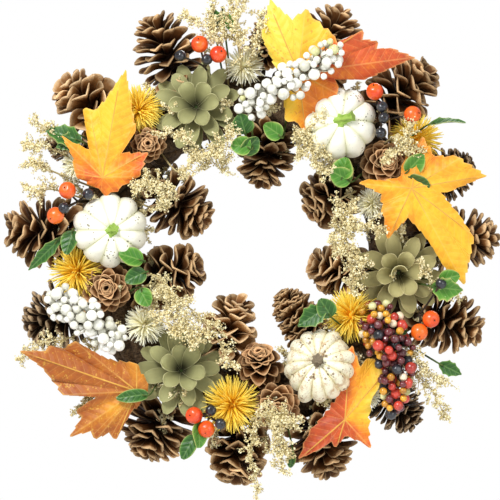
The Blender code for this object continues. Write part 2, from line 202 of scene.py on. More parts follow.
def cells(rows, columns, wrap=False):
    """Triangles that join a grid of points; wrap joins the last column to the first."""
    row = np.arange(rows - 1)[:, None]
    column = np.arange(columns if wrap else columns - 1)[None, :]
    a = row * columns + column
    b = row * columns + (column + 1) % columns
    c, d = b + columns, a + columns
    first = np.stack([a, b, c], -1).reshape(-1, 3)
    second = np.stack([a, c, d], -1).reshape(-1, 3)
    return np.concatenate([first, second])


def closed_tube(rings):
    """A shell from rings of points in rows, closed by a point at each end."""
    rows, columns = rings.shape[:2]
    ends = [rings[0].mean(axis=0), rings[-1].mean(axis=0)]
    points = np.concatenate([rings.reshape(-1, 3), ends])
    here = np.arange(columns)
    after = (here + 1) % columns
    start, finish = rows * columns, rows * columns + 1
    last = (rows - 1) * columns
    near = np.stack([np.full(columns, start), after, here], -1)
    far = np.stack([np.full(columns, finish), last + here, last + after], -1)
    return points, np.concatenate([cells(rows, columns, True), near, far])


def ring_values(values, columns):
    """Repeats one value per ring for its points and for the points that close the ends."""
    values = np.asarray(values, float)
    return np.concatenate([np.repeat(values, columns), values[[0, -1]]])


def tube(path, radii, sides=8, ribs=0, rib_depth=0.0, twist=0.0):
    """A round tube along a path, with ribs along it if asked."""
    path = np.asarray(path, float)
    radii = np.broadcast_to(np.asarray(radii, float), (len(path),))
    ahead = unit(np.gradient(path, axis=0))
    start = UP if abs(ahead[0][2]) < 0.9 else np.array([1.0, 0.0, 0.0])
    side = unit(np.cross(ahead[0], start))
    angles = np.arange(sides) * 2 * pi / sides
    rings = np.empty((len(path), sides, 3))
    for index, way in enumerate(ahead):
        side = unit(side - way * (side @ way))
        other = np.cross(way, side)
        turn = angles + twist * index
        reach = radii[index] * (1 + rib_depth * np.cos(ribs * angles))
        rings[index] = path[index] + (np.cos(turn) * reach)[:, None] * side
        rings[index] += (np.sin(turn) * reach)[:, None] * other
    return closed_tube(rings)


def sheet_shell(grid, thickness):
    """A thin closed shell on both sides of a grid of points."""
    rows, columns = grid.shape[:2]
    normal = unit(np.cross(np.gradient(grid, axis=1), np.gradient(grid, axis=0)))
    half = normal * (np.broadcast_to(thickness, (rows, columns))[..., None] / 2)
    points = np.concatenate([(grid + half).reshape(-1, 3), (grid - half).reshape(-1, 3)])
    front = cells(rows, columns)
    number = rows * columns
    index = np.arange(number).reshape(rows, columns)
    loop = [index[0, :-1], index[:-1, -1], index[-1, :0:-1], index[:0:-1, 0]]
    loop = np.concatenate(loop)
    after = np.roll(loop, -1)
    rim = [np.stack([loop, loop + number, after + number], -1)]
    rim.append(np.stack([loop, after + number, after], -1))
    return points, np.concatenate([front, front[:, ::-1] + number, *rim])


def both_sides(values, shape):
    """Repeats a value for each grid point of a thin shell's front and back."""
    flat = np.broadcast_to(values, shape).ravel()
    return np.concatenate([flat, flat])


def sides_apart(shape):
    """0 on the front of a thin shell and 1 on its back."""
    number = shape[0] * shape[1]
    return np.concatenate([np.zeros(number), np.ones(number)])


def add_sheet(shape, grid, thickness, look, along, edge, tone, off=None):
    """Adds a thin shell on a grid; unless off is given, it tells the two sides apart."""
    both = grid.shape[:2]
    off = sides_apart(both) if off is None else both_sides(off, both)
    shape.add(sheet_shell(grid, thickness), look, both_sides(along, both), both_sides(edge, both), tone, off)


def add_stem(shape, path, radii, sides, look, ribs=0, rib_depth=0.0):
    """Adds a stem along a path, with its length marked from 0 to 1."""
    along = ring_values(np.linspace(0, 1, len(path)), sides)
    shape.add(tube(path, radii, sides, ribs, rib_depth), look, along, 0.5)


def spoke(turn):
    """The way out and the way round at a turn about a piece's own axis."""
    return np.array([cos(turn), sin(turn)]), np.array([-sin(turn), cos(turn)])


def smooth_path(points, steps):
    """A smooth path through points, with a number of steps between each two."""
    points = np.asarray(points, float)
    padded = np.concatenate([points[:1], points, points[-1:]])
    path = []
    for index in range(len(points) - 1):
        before, start, end, after = padded[index:index + 4]
        for step in range(steps):
            t = step / steps
            path.append(0.5 * (2 * start + (end - before) * t
                               + (2 * before - 5 * start + 4 * end - after) * t**2
                               + (3 * start - before - 3 * end + after) * t**3))
    path.append(points[-1])
    return np.array(path)


def round_template(level):
    """Points and triangles of a ball of radius one."""
    shape = bmesh.new()
    bmesh.ops.create_icosphere(shape, subdivisions=level, radius=1)
    points = np.array([tuple(vert.co) for vert in shape.verts])
    faces = np.array([[vert.index for vert in face.verts] for face in shape.faces])
    shape.free()
    return points, faces


BALL = round_template(3)
NUB = (np.array([[1, 0, 0], [0, 1, 0], [-1, 0, 0], [0, -1, 0], [0, 0, 1], [0, 0, -1]], dtype=float),
       np.array([[0, 1, 4], [1, 2, 4], [2, 3, 4], [3, 0, 4], [1, 0, 5], [2, 1, 5], [3, 2, 5], [0, 3, 5]]))


def frames_along(ways, generator):
    """A turn matrix for each direction, spun at random round it."""
    ways = unit(ways)
    other = unit(generator.normal(size=ways.shape))
    side = unit(np.cross(ways, other))
    return np.stack([side, np.cross(ways, side), ways], axis=-1)


def add_stamps(shape, template, centres, scales, turns, look=0, tones=0.0, alongs=0.0):
    """Adds a copy of a small shell at each centre; scales are (n, 3) in the copy's own axes."""
    points, faces = template
    spread = points[None] * scales[:, None, :]
    placed = np.einsum("nij,nkj->nki", turns, spread) + centres[:, None, :]
    number = len(points)
    all_faces = faces[None] + (np.arange(len(centres)) * number)[:, None, None]
    values = np.empty((len(centres) * number, 4), np.float32)
    tips = np.broadcast_to((points[:, 2] + 1) / 2, (len(centres), number)).ravel()
    values[:, 0] = np.repeat(np.broadcast_to(alongs, len(centres)), number)
    values[:, 1] = tips
    values[:, 2] = np.repeat(np.broadcast_to(tones, len(centres)), number)
    values[:, 3] = 0.0
    shape.points.append(placed.reshape(-1, 3))
    shape.faces.append(all_faces.reshape(-1, 3) + shape.count)
    shape.values.append(values)
    shape.looks.append(np.full(len(centres) * len(faces), look, np.int32))
    shape.count += len(centres) * number


# ---------------------------------------------------------------- materials

def new_group(name, inputs, outputs):
    """A shader node group with named inputs and outputs; returns it with its two end nodes."""
    group = bpy.data.node_groups.new(name, "ShaderNodeTree")
    for label, kind, value in inputs:
        socket = group.interface.new_socket(label, in_out="INPUT", socket_type=kind)
        socket.default_value = value
    for label, kind in outputs:
        group.interface.new_socket(label, in_out="OUTPUT", socket_type=kind)
    return group, group.nodes.new("NodeGroupInput"), group.nodes.new("NodeGroupOutput")


def node(tree, kind, links=None, **settings):
    """Adds a node, sets its properties, and links or sets its inputs by name or number."""
    made = tree.nodes.new(kind)
    for label, value in settings.items():
        setattr(made, label, value)
    for label, value in (links or {}).items():
        socket = made.inputs[label]
        if isinstance(value, bpy.types.NodeSocket):
            tree.links.new(value, socket)
        else:
            socket.default_value = value
    return made


def maths(tree, operation, first, second=0.0, third=0.0):
    """A Math node's result."""
    made = node(tree, "ShaderNodeMath", {0: first, 1: second, 2: third}, operation=operation)
    return made.outputs[0]


def blend_colours(tree, share, first, second, mode="MIX"):
    """A colour between two, or one laid on the other."""
    links = {0: share, 6: first, 7: second}
    return node(tree, "ShaderNodeMix", links, data_type="RGBA", blend_type=mode).outputs[2]


def coordinates(tree):
    """Places on the piece itself, in metres."""
    return tree.nodes.new("ShaderNodeTexCoord").outputs["Object"]


def noise(tree, scale, detail=4.0, rough=0.55, where=None, stretch=0.0):
    """A noise from 0 to 1."""
    links = {"Vector": where or coordinates(tree), "Scale": scale, "Detail": detail}
    made = node(tree, "ShaderNodeTexNoise", links)
    made.inputs["Roughness"].default_value = rough
    made.inputs["Distortion"].default_value = stretch
    return made.outputs["Fac"]


def spread_out(tree, value, low, high, bottom=0.0, top=1.0):
    """Maps a value from one range to another and keeps it there."""
    made = node(tree, "ShaderNodeMapRange", {0: value, 1: low, 2: high, 3: bottom, 4: top})
    return made.outputs[0]


def build_patchy():
    """Two colours in soft patches, with finer flecks inside them."""
    group, start, end = new_group("Patchy colour", (
        ("Colour", "NodeSocketColor", (1, 1, 1, 1)), ("Patch colour", "NodeSocketColor", (0, 0, 0, 1)),
        ("Patch scale", "NodeSocketFloat", 300.0), ("Share", "NodeSocketFloat", 0.5),
    ), (("Colour", "NodeSocketColor"), ("Mask", "NodeSocketFloat")))
    coarse = noise(group, start.outputs["Patch scale"], 3.0, 0.6)
    fine = noise(group, maths(group, "MULTIPLY", start.outputs["Patch scale"], 4.7), 2.0, 0.6)
    mixed = maths(group, "MULTIPLY_ADD", fine, 0.35, maths(group, "MULTIPLY", coarse, 0.65))
    level = maths(group, "SUBTRACT", 0.95, maths(group, "MULTIPLY", start.outputs["Share"], 0.9))
    low = maths(group, "SUBTRACT", level, 0.1)
    high = maths(group, "ADD", level, 0.1)
    mask = spread_out(group, mixed, low, high)
    colour = blend_colours(group, mask, start.outputs["Colour"], start.outputs["Patch colour"])
    group.links.new(colour, end.inputs["Colour"])
    group.links.new(mask, end.inputs["Mask"])
    return group


def build_speckle():
    """Small scattered dots of uneven size."""
    group, start, end = new_group("Speckle", (
        ("Scale", "NodeSocketFloat", 500.0), ("Size", "NodeSocketFloat", 0.2),
    ), (("Mask", "NodeSocketFloat"),))
    where = coordinates(group)
    dots = node(group, "ShaderNodeTexVoronoi", {"Vector": where, "Scale": start.outputs["Scale"]})
    pick = noise(group, maths(group, "MULTIPLY", start.outputs["Scale"], 0.31), 2.0, 0.5, where)
    limit = maths(group, "MULTIPLY", start.outputs["Size"], spread_out(group, pick, 0.45, 0.7))
    near = maths(group, "SUBTRACT", limit, dots.outputs["Distance"])
    group.links.new(spread_out(group, near, 0.0, 0.06), end.inputs["Mask"])
    return group


def build_grain():
    """Fine streaks and pits as a height from 0 to 1."""
    group, start, end = new_group("Fine grain", (
        ("Scale", "NodeSocketFloat", 900.0), ("Streaks", "NodeSocketFloat", 0.5),
        ("Along", "NodeSocketFloat", 0.0), ("Across", "NodeSocketFloat", 0.0),
    ), (("Height", "NodeSocketFloat"), ("Streak", "NodeSocketFloat")))
    pits = noise(group, start.outputs["Scale"], 4.0, 0.65)
    lines = node(group, "ShaderNodeCombineXYZ", {0: start.outputs["Across"], 1: start.outputs["Along"]})
    streaks = noise(group, 1.0, 3.0, 0.6, lines.outputs[0])
    mixed = node(group, "ShaderNodeMix", {0: start.outputs["Streaks"], 2: pits, 3: streaks})
    group.links.new(mixed.outputs[0], end.inputs["Height"])
    group.links.new(streaks, end.inputs["Streak"])
    return group


def build_veins():
    """Thin lines of a leaf: a middle vein and pairs that leave it at a slant."""
    group, start, end = new_group("Leaf veins", (
        ("Along", "NodeSocketFloat", 0.0), ("Off", "NodeSocketFloat", 0.0),
        ("Spacing", "NodeSocketFloat", 6.0), ("Slant", "NodeSocketFloat", 1.0),
        ("Width", "NodeSocketFloat", 0.35),
    ), (("Mask", "NodeSocketFloat"), ("Quilt", "NodeSocketFloat")))
    away = maths(group, "ABSOLUTE", start.outputs["Off"])
    width = start.outputs["Width"]
    middle = spread_out(group, away, width, maths(group, "MULTIPLY", width, 2.2), 1.0, 0.0)
    slid = maths(group, "SUBTRACT", start.outputs["Along"],
                 maths(group, "MULTIPLY", away, start.outputs["Slant"]))
    wave = maths(group, "PINGPONG", slid, maths(group, "MULTIPLY", start.outputs["Spacing"], 0.5))
    side = spread_out(group, wave, maths(group, "MULTIPLY", width, 0.35),
                      maths(group, "MULTIPLY", width, 1.3), 0.75, 0.0)
    group.links.new(maths(group, "MAXIMUM", middle, side), end.inputs["Mask"])
    quilt = maths(group, "DIVIDE", wave, start.outputs["Spacing"])
    group.links.new(quilt, end.inputs["Quilt"])
    return group


PATCHY, SPECKLE, GRAIN, VEINS = build_patchy(), build_speckle(), build_grain(), build_veins()


def grouped(tree, group, links):
    """Uses a shared node group."""
    return node(tree, "ShaderNodeGroup", links, node_tree=group)


def rgb(*colour):
    """A colour with full alpha."""
    return (*colour, 1.0)


def grained(tree, scale, streaks=0.0, along=None, across=None):
    """The fine grain's height and streak; along and across each give a value and its number of lines."""
    links = {"Scale": scale, "Streaks": streaks}
    if along:
        links["Along"] = maths(tree, "MULTIPLY", *along)
    if across:
        links["Across"] = maths(tree, "MULTIPLY", *across)
    made = grouped(tree, GRAIN, links)
    return made.outputs["Height"], made.outputs["Streak"]


def patched(tree, colour, patch, scale, share):
    """A colour with soft patches of another, and the patches' mask."""
    made = grouped(tree, PATCHY, {"Colour": colour, "Patch colour": rgb(*patch),
                                  "Patch scale": scale, "Share": share})
    return made.outputs["Colour"], made.outputs["Mask"]


def specked(tree, colour, fleck, scale, size, strength):
    """A colour with scattered specks of another."""
    dots = grouped(tree, SPECKLE, {"Scale": scale, "Size": size})
    return blend_colours(tree, maths(tree, "MULTIPLY", dots.outputs["Mask"], strength), colour, rgb(*fleck))


def shaded(tree, colour, shade):
    """A colour made lighter or darker by a value."""
    grey = node(tree, "ShaderNodeCombineColor", {0: shade, 1: shade, 2: shade})
    return blend_colours(tree, 1.0, colour, grey.outputs[0], "MULTIPLY")


def start_look(name, roughness=0.6, specular=0.4):
    """A material with a Principled shader; returns it with its node tree and shader."""
    made = bpy.data.materials.new(name)
    made.use_nodes = True
    tree = made.node_tree
    shader = tree.nodes["Principled BSDF"]
    shader.inputs["Roughness"].default_value = roughness
    shader.inputs["Specular IOR Level"].default_value = specular
    return made, tree, shader


def carried(tree, *labels):
    """Values that the piece carries at each point."""
    return [node(tree, "ShaderNodeAttribute", attribute_name=label).outputs["Fac"] for label in labels]


def ramp(tree, value, stops):
    """A colour ramp through (place, colour) stops."""
    made = node(tree, "ShaderNodeValToRGB", {0: value})
    colours = made.color_ramp.elements
    while len(colours) < len(stops):
        colours.new(0.5)
    for element, (place, colour) in zip(colours, stops):
        element.position = place
        element.color = rgb(*colour)
    return made.outputs["Color"]


def finish_look(tree, shader, colour, height=None, strength=0.3, distance=0.4 * MM, rough=None):
    """Joins colour, roughness and bump to the shader."""
    tree.links.new(colour, shader.inputs["Base Color"])
    if height is not None:
        bump = node(tree, "ShaderNodeBump", {"Height": height})
        bump.inputs["Strength"].default_value = strength
        bump.inputs["Distance"].default_value = distance
        tree.links.new(bump.outputs["Normal"], shader.inputs["Normal"])
    if rough is not None:
        tree.links.new(rough, shader.inputs["Roughness"])


def scale_look(name, root, middle, tip, tip_start=0.72, rim=0.0):
    """Dry scales: dark at the root, partly their own colour and partly painted shade between the scales,
    paler towards the tip and along the rim.
    """
    made, tree, shader = start_look(name, 0.62, 0.12)
    along, edge, tone = carried(tree, "along", "edge", "tone")
    wander = noise(tree, 260.0, 3.0)
    place = maths(tree, "MULTIPLY_ADD", maths(tree, "SUBTRACT", wander, 0.5), 0.35, along)
    # The darkest stop, at the very root, is painted shade where the scales crowd the core.
    root_shade = tuple(channel * 0.5 for channel in root)
    stops = ((0.0, root_shade), (0.35, root), (tip_start - 0.06, middle), (min(0.97, tip_start + 0.2), tip))
    colour = ramp(tree, place, stops)
    worn = spread_out(tree, maths(tree, "MULTIPLY_ADD", wander, 0.16, edge), 0.86, 1.08, 0.0, rim)
    outer = spread_out(tree, along, 0.3, 0.8, 0.15, 1.0)
    colour = blend_colours(tree, maths(tree, "MULTIPLY", worn, outer), colour, rgb(*tip))
    lightness = maths(tree, "MULTIPLY_ADD", tone, 0.42, 1.06)
    back_side = maths(tree, "MULTIPLY", carried(tree, "off")[0], 0.25)
    shade = maths(tree, "SUBTRACT", lightness, back_side)
    height, streak = grained(tree, 900.0, 0.7, (along, 3.0), (edge, 16.0))
    streaked = maths(tree, "MULTIPLY_ADD", streak, 0.7, 0.62)
    colour = shaded(tree, colour, maths(tree, "MULTIPLY", shade, streaked))
    rough = maths(tree, "MULTIPLY_ADD", wander, 0.3, 0.42)
    finish_look(tree, shader, colour, height, 0.5, 0.5 * MM, rough)
    return made


def straw_look(name, root, middle, tip, sheen=0.3):
    """Dyed straw straps: darker at the root, paler at the tip, with fine lines along them."""
    made, tree, shader = start_look(name, 0.5, sheen)
    along, tone = carried(tree, "along", "tone")
    place = maths(tree, "MULTIPLY_ADD", tone, 0.14, along)
    colour = ramp(tree, place, ((0.0, root), (0.45, middle), (0.9, tip)))
    height = grained(tree, 2200.0, 0.3, (along, 1.0))[0]
    colour = patched(tree, colour, middle, 700.0, 0.35)[0]
    finish_look(tree, shader, colour, height, 0.3, 0.2 * MM)
    return made


def flower_look(name, inner, body, rim):
    """Dyed wood shavings: grey green, darkened at the petals' roots by painted shade in the flower's middle,
    with a paler cut edge and long fibres.
    """
    made, tree, shader = start_look(name, 0.72, 0.25)
    along, edge, tone = carried(tree, "along", "edge", "tone")
    # The inner colour at the petals' roots is painted shade in the flower's hollow middle.
    colour = ramp(tree, maths(tree, "MULTIPLY_ADD", tone, 0.12, along),
                  ((0.10, inner), (0.52, body), (1.0, tuple(channel * 1.15 for channel in body))))
    height, streak = grained(tree, 1500.0, 0.75, (along, 2.0), (edge, 22.0))
    colour = shaded(tree, colour, maths(tree, "MULTIPLY_ADD", streak, 0.3, 0.85))
    cut = spread_out(tree, edge, 0.93, 1.0, 0.0, 0.6)
    colour = blend_colours(tree, cut, colour, rgb(*rim))
    finish_look(tree, shader, colour, height, 0.35, 0.25 * MM)
    return made


def pumpkin_look(name, skin, groove, fleck, patch_share, fleck_size, patch):
    """Painted foam skin: paler ribs, warmer grooves, dark specks and scuffed patches."""
    made, tree, shader = start_look(name, 0.42, 0.45)
    groove_share = spread_out(tree, carried(tree, "edge")[0], 0.3, 1.0)
    colour = blend_colours(tree, groove_share, rgb(*skin), rgb(*groove))
    colour = patched(tree, colour, patch, 170.0, patch_share)[0]
    colour = specked(tree, colour, fleck, 400.0, fleck_size * 1.15, 0.8)
    colour = specked(tree, colour, fleck, 1300.0, fleck_size * 0.8, 0.6)
    height = grained(tree, 520.0)[0]
    rough = maths(tree, "MULTIPLY_ADD", height, 0.3, 0.3)
    finish_look(tree, shader, colour, height, 0.25, 0.6 * MM, rough)
    return made


def stem_look(name, dark, light):
    """A dry stalk with lines along it."""
    made, tree, shader = start_look(name, 0.7, 0.3)
    along, edge = carried(tree, "along", "edge")
    height, streak = grained(tree, 900.0, 0.6, (along, 3.0), (edge, 9.0))
    place = maths(tree, "MULTIPLY_ADD", streak, 0.9, -0.1)
    colour = ramp(tree, place, ((0.15, dark), (0.75, light)))
    finish_look(tree, shader, colour, height, 0.6, 0.5 * MM)
    return made


def leaf_look(name, stops, vein, spacing=6.5, slant=0.75, speckle=None, rough=0.5, vein_share=0.2):
    """A printed leaf: colours run from the hub to the tips, with pale veins and a fine weave."""
    made, tree, shader = start_look(name, rough, 0.35)
    tone, edge = carried(tree, "tone", "edge")
    wander = noise(tree, 75.0, 5.0, 0.65)
    fine = noise(tree, 420.0, 3.0, 0.6)
    place = maths(tree, "MULTIPLY_ADD", maths(tree, "SUBTRACT", wander, 0.5), 0.5, tone)
    place = maths(tree, "MULTIPLY_ADD", maths(tree, "SUBTRACT", fine, 0.5), 0.22, place)
    colour = ramp(tree, place, stops)
    if speckle:
        colour = specked(tree, colour, speckle, 620.0, 0.55, 0.5)
    along, off = carried(tree, "along", "off")
    veins = grouped(tree, VEINS, {"Along": along, "Off": off, "Spacing": spacing,
                                  "Slant": slant, "Width": 0.32})
    vein_mask = maths(tree, "MULTIPLY", veins.outputs["Mask"], vein_share)
    colour = blend_colours(tree, vein_mask, colour, rgb(*vein))
    rim = spread_out(tree, edge, 0.955, 1.0, 0.0, 0.35)
    colour = blend_colours(tree, rim, colour, rgb(*vein))
    weave = noise(tree, 1900.0, 2.0, 0.5)
    height = maths(tree, "MULTIPLY_ADD", veins.outputs["Quilt"], 1.4, maths(tree, "MULTIPLY", weave, 0.25))
    finish_look(tree, shader, colour, height, 0.55, 0.7 * MM)
    shader.inputs["Sheen Weight"].default_value = 0.15
    return made


def berry_look(name, colour, shade, coat, dust=None):
    """A round berry: painted shade towards its stalk, blotches of the shade colour that are partly uneven
    paint and partly painted shade, and a soft gloss.
    """
    made, tree, shader = start_look(name, 0.34, 0.5)
    tone, edge = carried(tree, "tone", "edge")
    shift = maths(tree, "MULTIPLY_ADD", tone, 0.2, -0.15)
    # Noise mixes in the shade colour in broad blotches: partly the berries' uneven paint, partly painted
    # shade.
    place = maths(tree, "MULTIPLY_ADD", noise(tree, 90.0, 5.0), 1.1, shift)
    mixed = ramp(tree, place, ((0.15, shade), (0.5, colour)))
    # Painted shade on each berry's stalk side, which faces into the spray.
    low = spread_out(tree, edge, 0.0, 0.14, 0.6, 0.0)
    mixed = blend_colours(tree, low, mixed, rgb(*shade))
    if dust:
        mixed = patched(tree, mixed, dust, 420.0, 0.2)[0]
    height = grained(tree, 1100.0)[0]
    rough = maths(tree, "MULTIPLY_ADD", height, 0.25, 0.2)
    finish_look(tree, shader, mixed, height, 0.15, 0.2 * MM, rough)
    shader.inputs["Coat Weight"].default_value = coat
    shader.inputs["Coat Roughness"].default_value = 0.12
    return made


def bark_look(name, dark, light):
    """Dry vine bark: long flaking strips."""
    made, tree, shader = start_look(name, 0.82, 0.2)
    along, edge = carried(tree, "along", "edge")
    height, streak = grained(tree, 380.0, 0.8, (along, 60.0), (edge, 14.0))
    colour = ramp(tree, streak, ((0.3, dark), (0.7, light)))
    colour = patched(tree, colour, dark, 90.0, 0.4)[0]
    finish_look(tree, shader, colour, height, 0.8, 0.9 * MM)
    return made


def wire_look(name):
    """Dark annealed wire with rubbed, warmer spots."""
    made, tree, shader = start_look(name, 0.4, 0.5)
    shader.inputs["Metallic"].default_value = 0.85
    colour, worn = patched(tree, rgb(0.12, 0.095, 0.08), (0.3, 0.22, 0.16), 520.0, 0.45)
    rough = maths(tree, "MULTIPLY_ADD", worn, 0.25, 0.32)
    height = grained(tree, 2600.0)[0]
    finish_look(tree, shader, colour, height, 0.3, 0.15 * MM, rough)
    return made


# Half of each root colour becomes the darkest stop, painted shade where the scales meet the core.
CONE = scale_look("cone scales", (0.042, 0.015, 0.005), (0.158, 0.064, 0.019), (0.56, 0.37, 0.19), 0.84, 0.8)
PALE_CONE = scale_look("pale cone scales", (0.095, 0.032, 0.008), (0.33, 0.155, 0.050), (0.68, 0.47, 0.26),
                       0.80, 0.8)
DARK_CONE = scale_look("dark cone scales", (0.015, 0.008, 0.004), (0.052, 0.024, 0.010),
                       (0.40, 0.28, 0.16), 0.88, 0.5)
ROSETTE = scale_look("rosette scales", (0.050, 0.015, 0.004), (0.23, 0.092, 0.030), (0.66, 0.40, 0.20),
                     0.84, 0.95)
TEASEL = scale_look("teasel bristles", (0.03, 0.016, 0.008), (0.10, 0.06, 0.035), (0.30, 0.20, 0.12))
YELLOW = straw_look("yellow straw", (0.95, 0.48, 0.02), (1.0, 0.69, 0.055), (1.0, 0.82, 0.17))
STRAW = straw_look("pale straw", (0.80, 0.72, 0.40), (1.0, 0.96, 0.68), (1.0, 1.0, 0.86))
# The first colour of each is painted shade at the petals' roots in the flower's middle.
SAGE = flower_look("sage shavings", (0.030, 0.030, 0.012), (0.285, 0.282, 0.125), (0.56, 0.54, 0.29))
OLIVE = flower_look("olive shavings", (0.040, 0.036, 0.012), (0.34, 0.305, 0.130), (0.60, 0.54, 0.29))
WHITE_SKIN = pumpkin_look("white pumpkin skin", (0.92, 0.91, 0.78), (0.76, 0.76, 0.54), (0.12, 0.10, 0.04),
                          0.22, 0.36, (0.84, 0.84, 0.64))
MOTTLED_SKIN = pumpkin_look("mottled pumpkin skin", (0.90, 0.88, 0.68), (0.80, 0.75, 0.50),
                            (0.16, 0.08, 0.03), 0.39, 0.5, (0.54, 0.34, 0.16))
PUMPKIN_STEM = stem_look("pumpkin stalk", (0.16, 0.30, 0.03), (0.50, 0.66, 0.16))
GREEN_STEM = stem_look("green stalk", (0.02, 0.055, 0.008), (0.20, 0.26, 0.06))
GREY_STEM = stem_look("grey stalk", (0.10, 0.075, 0.045), (0.34, 0.27, 0.17))
TWIG = stem_look("dark twig", (0.022, 0.014, 0.009), (0.12, 0.08, 0.05))
GREY_TWIG = stem_look("grey twig", (0.10, 0.09, 0.06), (0.40, 0.36, 0.26))
BARK = bark_look("vine bark", (0.026, 0.015, 0.008), (0.20, 0.130, 0.072))
WIRE = wire_look("dark wire")
# The second colour of each berry is painted shade on its stalk side, and in blotches partly painted shade,
# partly uneven paint.
WHITE_BERRY = berry_look("white berries", (0.94, 0.94, 0.88), (0.62, 0.61, 0.50), 0.12)
GREEN_BERRY = berry_look("greenish berries", (0.72, 0.72, 0.36), (0.44, 0.42, 0.16), 0.2)
ORANGE_BERRY = berry_look("orange berries", (0.90, 0.15, 0.012), (0.66, 0.022, 0.006), 0.2)
BLACK_BERRY = berry_look("blue black berries", (0.020, 0.022, 0.030), (0.006, 0.006, 0.008), 0.5,
                         (0.07, 0.075, 0.09))
SCARLET_BERRY = berry_look("scarlet berries", (0.86, 0.085, 0.012), (0.50, 0.012, 0.006), 0.3)
RED_BERRY = berry_look("red berries", (0.62, 0.055, 0.030), (0.26, 0.015, 0.012), 0.6)
WINE_BERRY = berry_look("wine berries", (0.15, 0.022, 0.028), (0.05, 0.008, 0.010), 0.6)
MUSTARD_BERRY = berry_look("mustard berries", (0.80, 0.40, 0.030), (0.42, 0.17, 0.012), 0.5)
CREAM_BERRY = berry_look("cream berries", (0.92, 0.80, 0.58), (0.60, 0.44, 0.25), 0.4)
FLORET = straw_look("dried florets", (0.52, 0.41, 0.17), (0.80, 0.69, 0.37), (0.96, 0.90, 0.62), 0.1)
STRAW_TWIG = stem_look("straw twig", (0.40, 0.31, 0.13), (0.80, 0.70, 0.40))
LEAF_STOPS = ((0.0, (0.72, 0.58, 0.060)), (0.28, (0.88, 0.47, 0.022)), (0.52, (0.78, 0.25, 0.012)),
              (0.74, (0.56, 0.085, 0.014)), (1.0, (0.26, 0.030, 0.010)))
BROWN_STOPS = ((0.0, (0.78, 0.44, 0.03)), (0.28, (0.62, 0.24, 0.014)), (0.52, (0.38, 0.105, 0.010)),
               (0.76, (0.24, 0.046, 0.010)), (1.0, (0.10, 0.020, 0.006)))
MAPLE = leaf_look("maple leaf", LEAF_STOPS, (0.95, 0.62, 0.16))
RED_MAPLE = leaf_look("speckled maple leaf", LEAF_STOPS, (0.95, 0.60, 0.20), speckle=(0.62, 0.16, 0.02))
BROWN_MAPLE = leaf_look("brown maple leaf", BROWN_STOPS, (0.80, 0.50, 0.14), speckle=(0.66, 0.40, 0.05))
GREEN_STOPS = ((0.0, (0.050, 0.190, 0.014)), (0.5, (0.120, 0.300, 0.035)), (0.8, (0.26, 0.41, 0.09)),
               (1.0, (0.42, 0.44, 0.12)))
DARK_GREEN_STOPS = ((0.0, (0.020, 0.085, 0.012)), (0.6, (0.055, 0.170, 0.022)), (0.85, (0.18, 0.30, 0.06)),
                    (1.0, (0.34, 0.38, 0.13)))
GREEN = leaf_look("green leaf", GREEN_STOPS, (0.30, 0.46, 0.12), 4.2, 0.9, rough=0.4, vein_share=0.35)
DARK_GREEN = leaf_look("dark green leaf", DARK_GREEN_STOPS, (0.20, 0.36, 0.10), 4.2, 0.9, rough=0.35,
                       vein_share=0.35)


# ---------------------------------------------------------------- cones

def envelope(profile, height):
    """The widest reach at a height, both as shares of a cone's own size."""
    widths, heights = zip(*profile)
    return np.interp(height, heights, widths)


# Outlines of a long and of a low cone: how wide it is at a height.
LONG_PROFILE = (
    (0.8, -0.3), (1.0, -0.1), (1.12, 0.15), (1.12, 0.4), (1.0, 0.62), (0.78, 0.82), (0.4, 0.96), (0.0, 1.0),
)
LOW_PROFILE = (
    (0.6, -0.2), (0.9, 0.0), (1.08, 0.2), (1.10, 0.45), (0.92, 0.7), (0.52, 0.93), (0.16, 1.04), (0.0, 1.1),
)


CURVE_STEPS = 60  # steps along a scale's curve


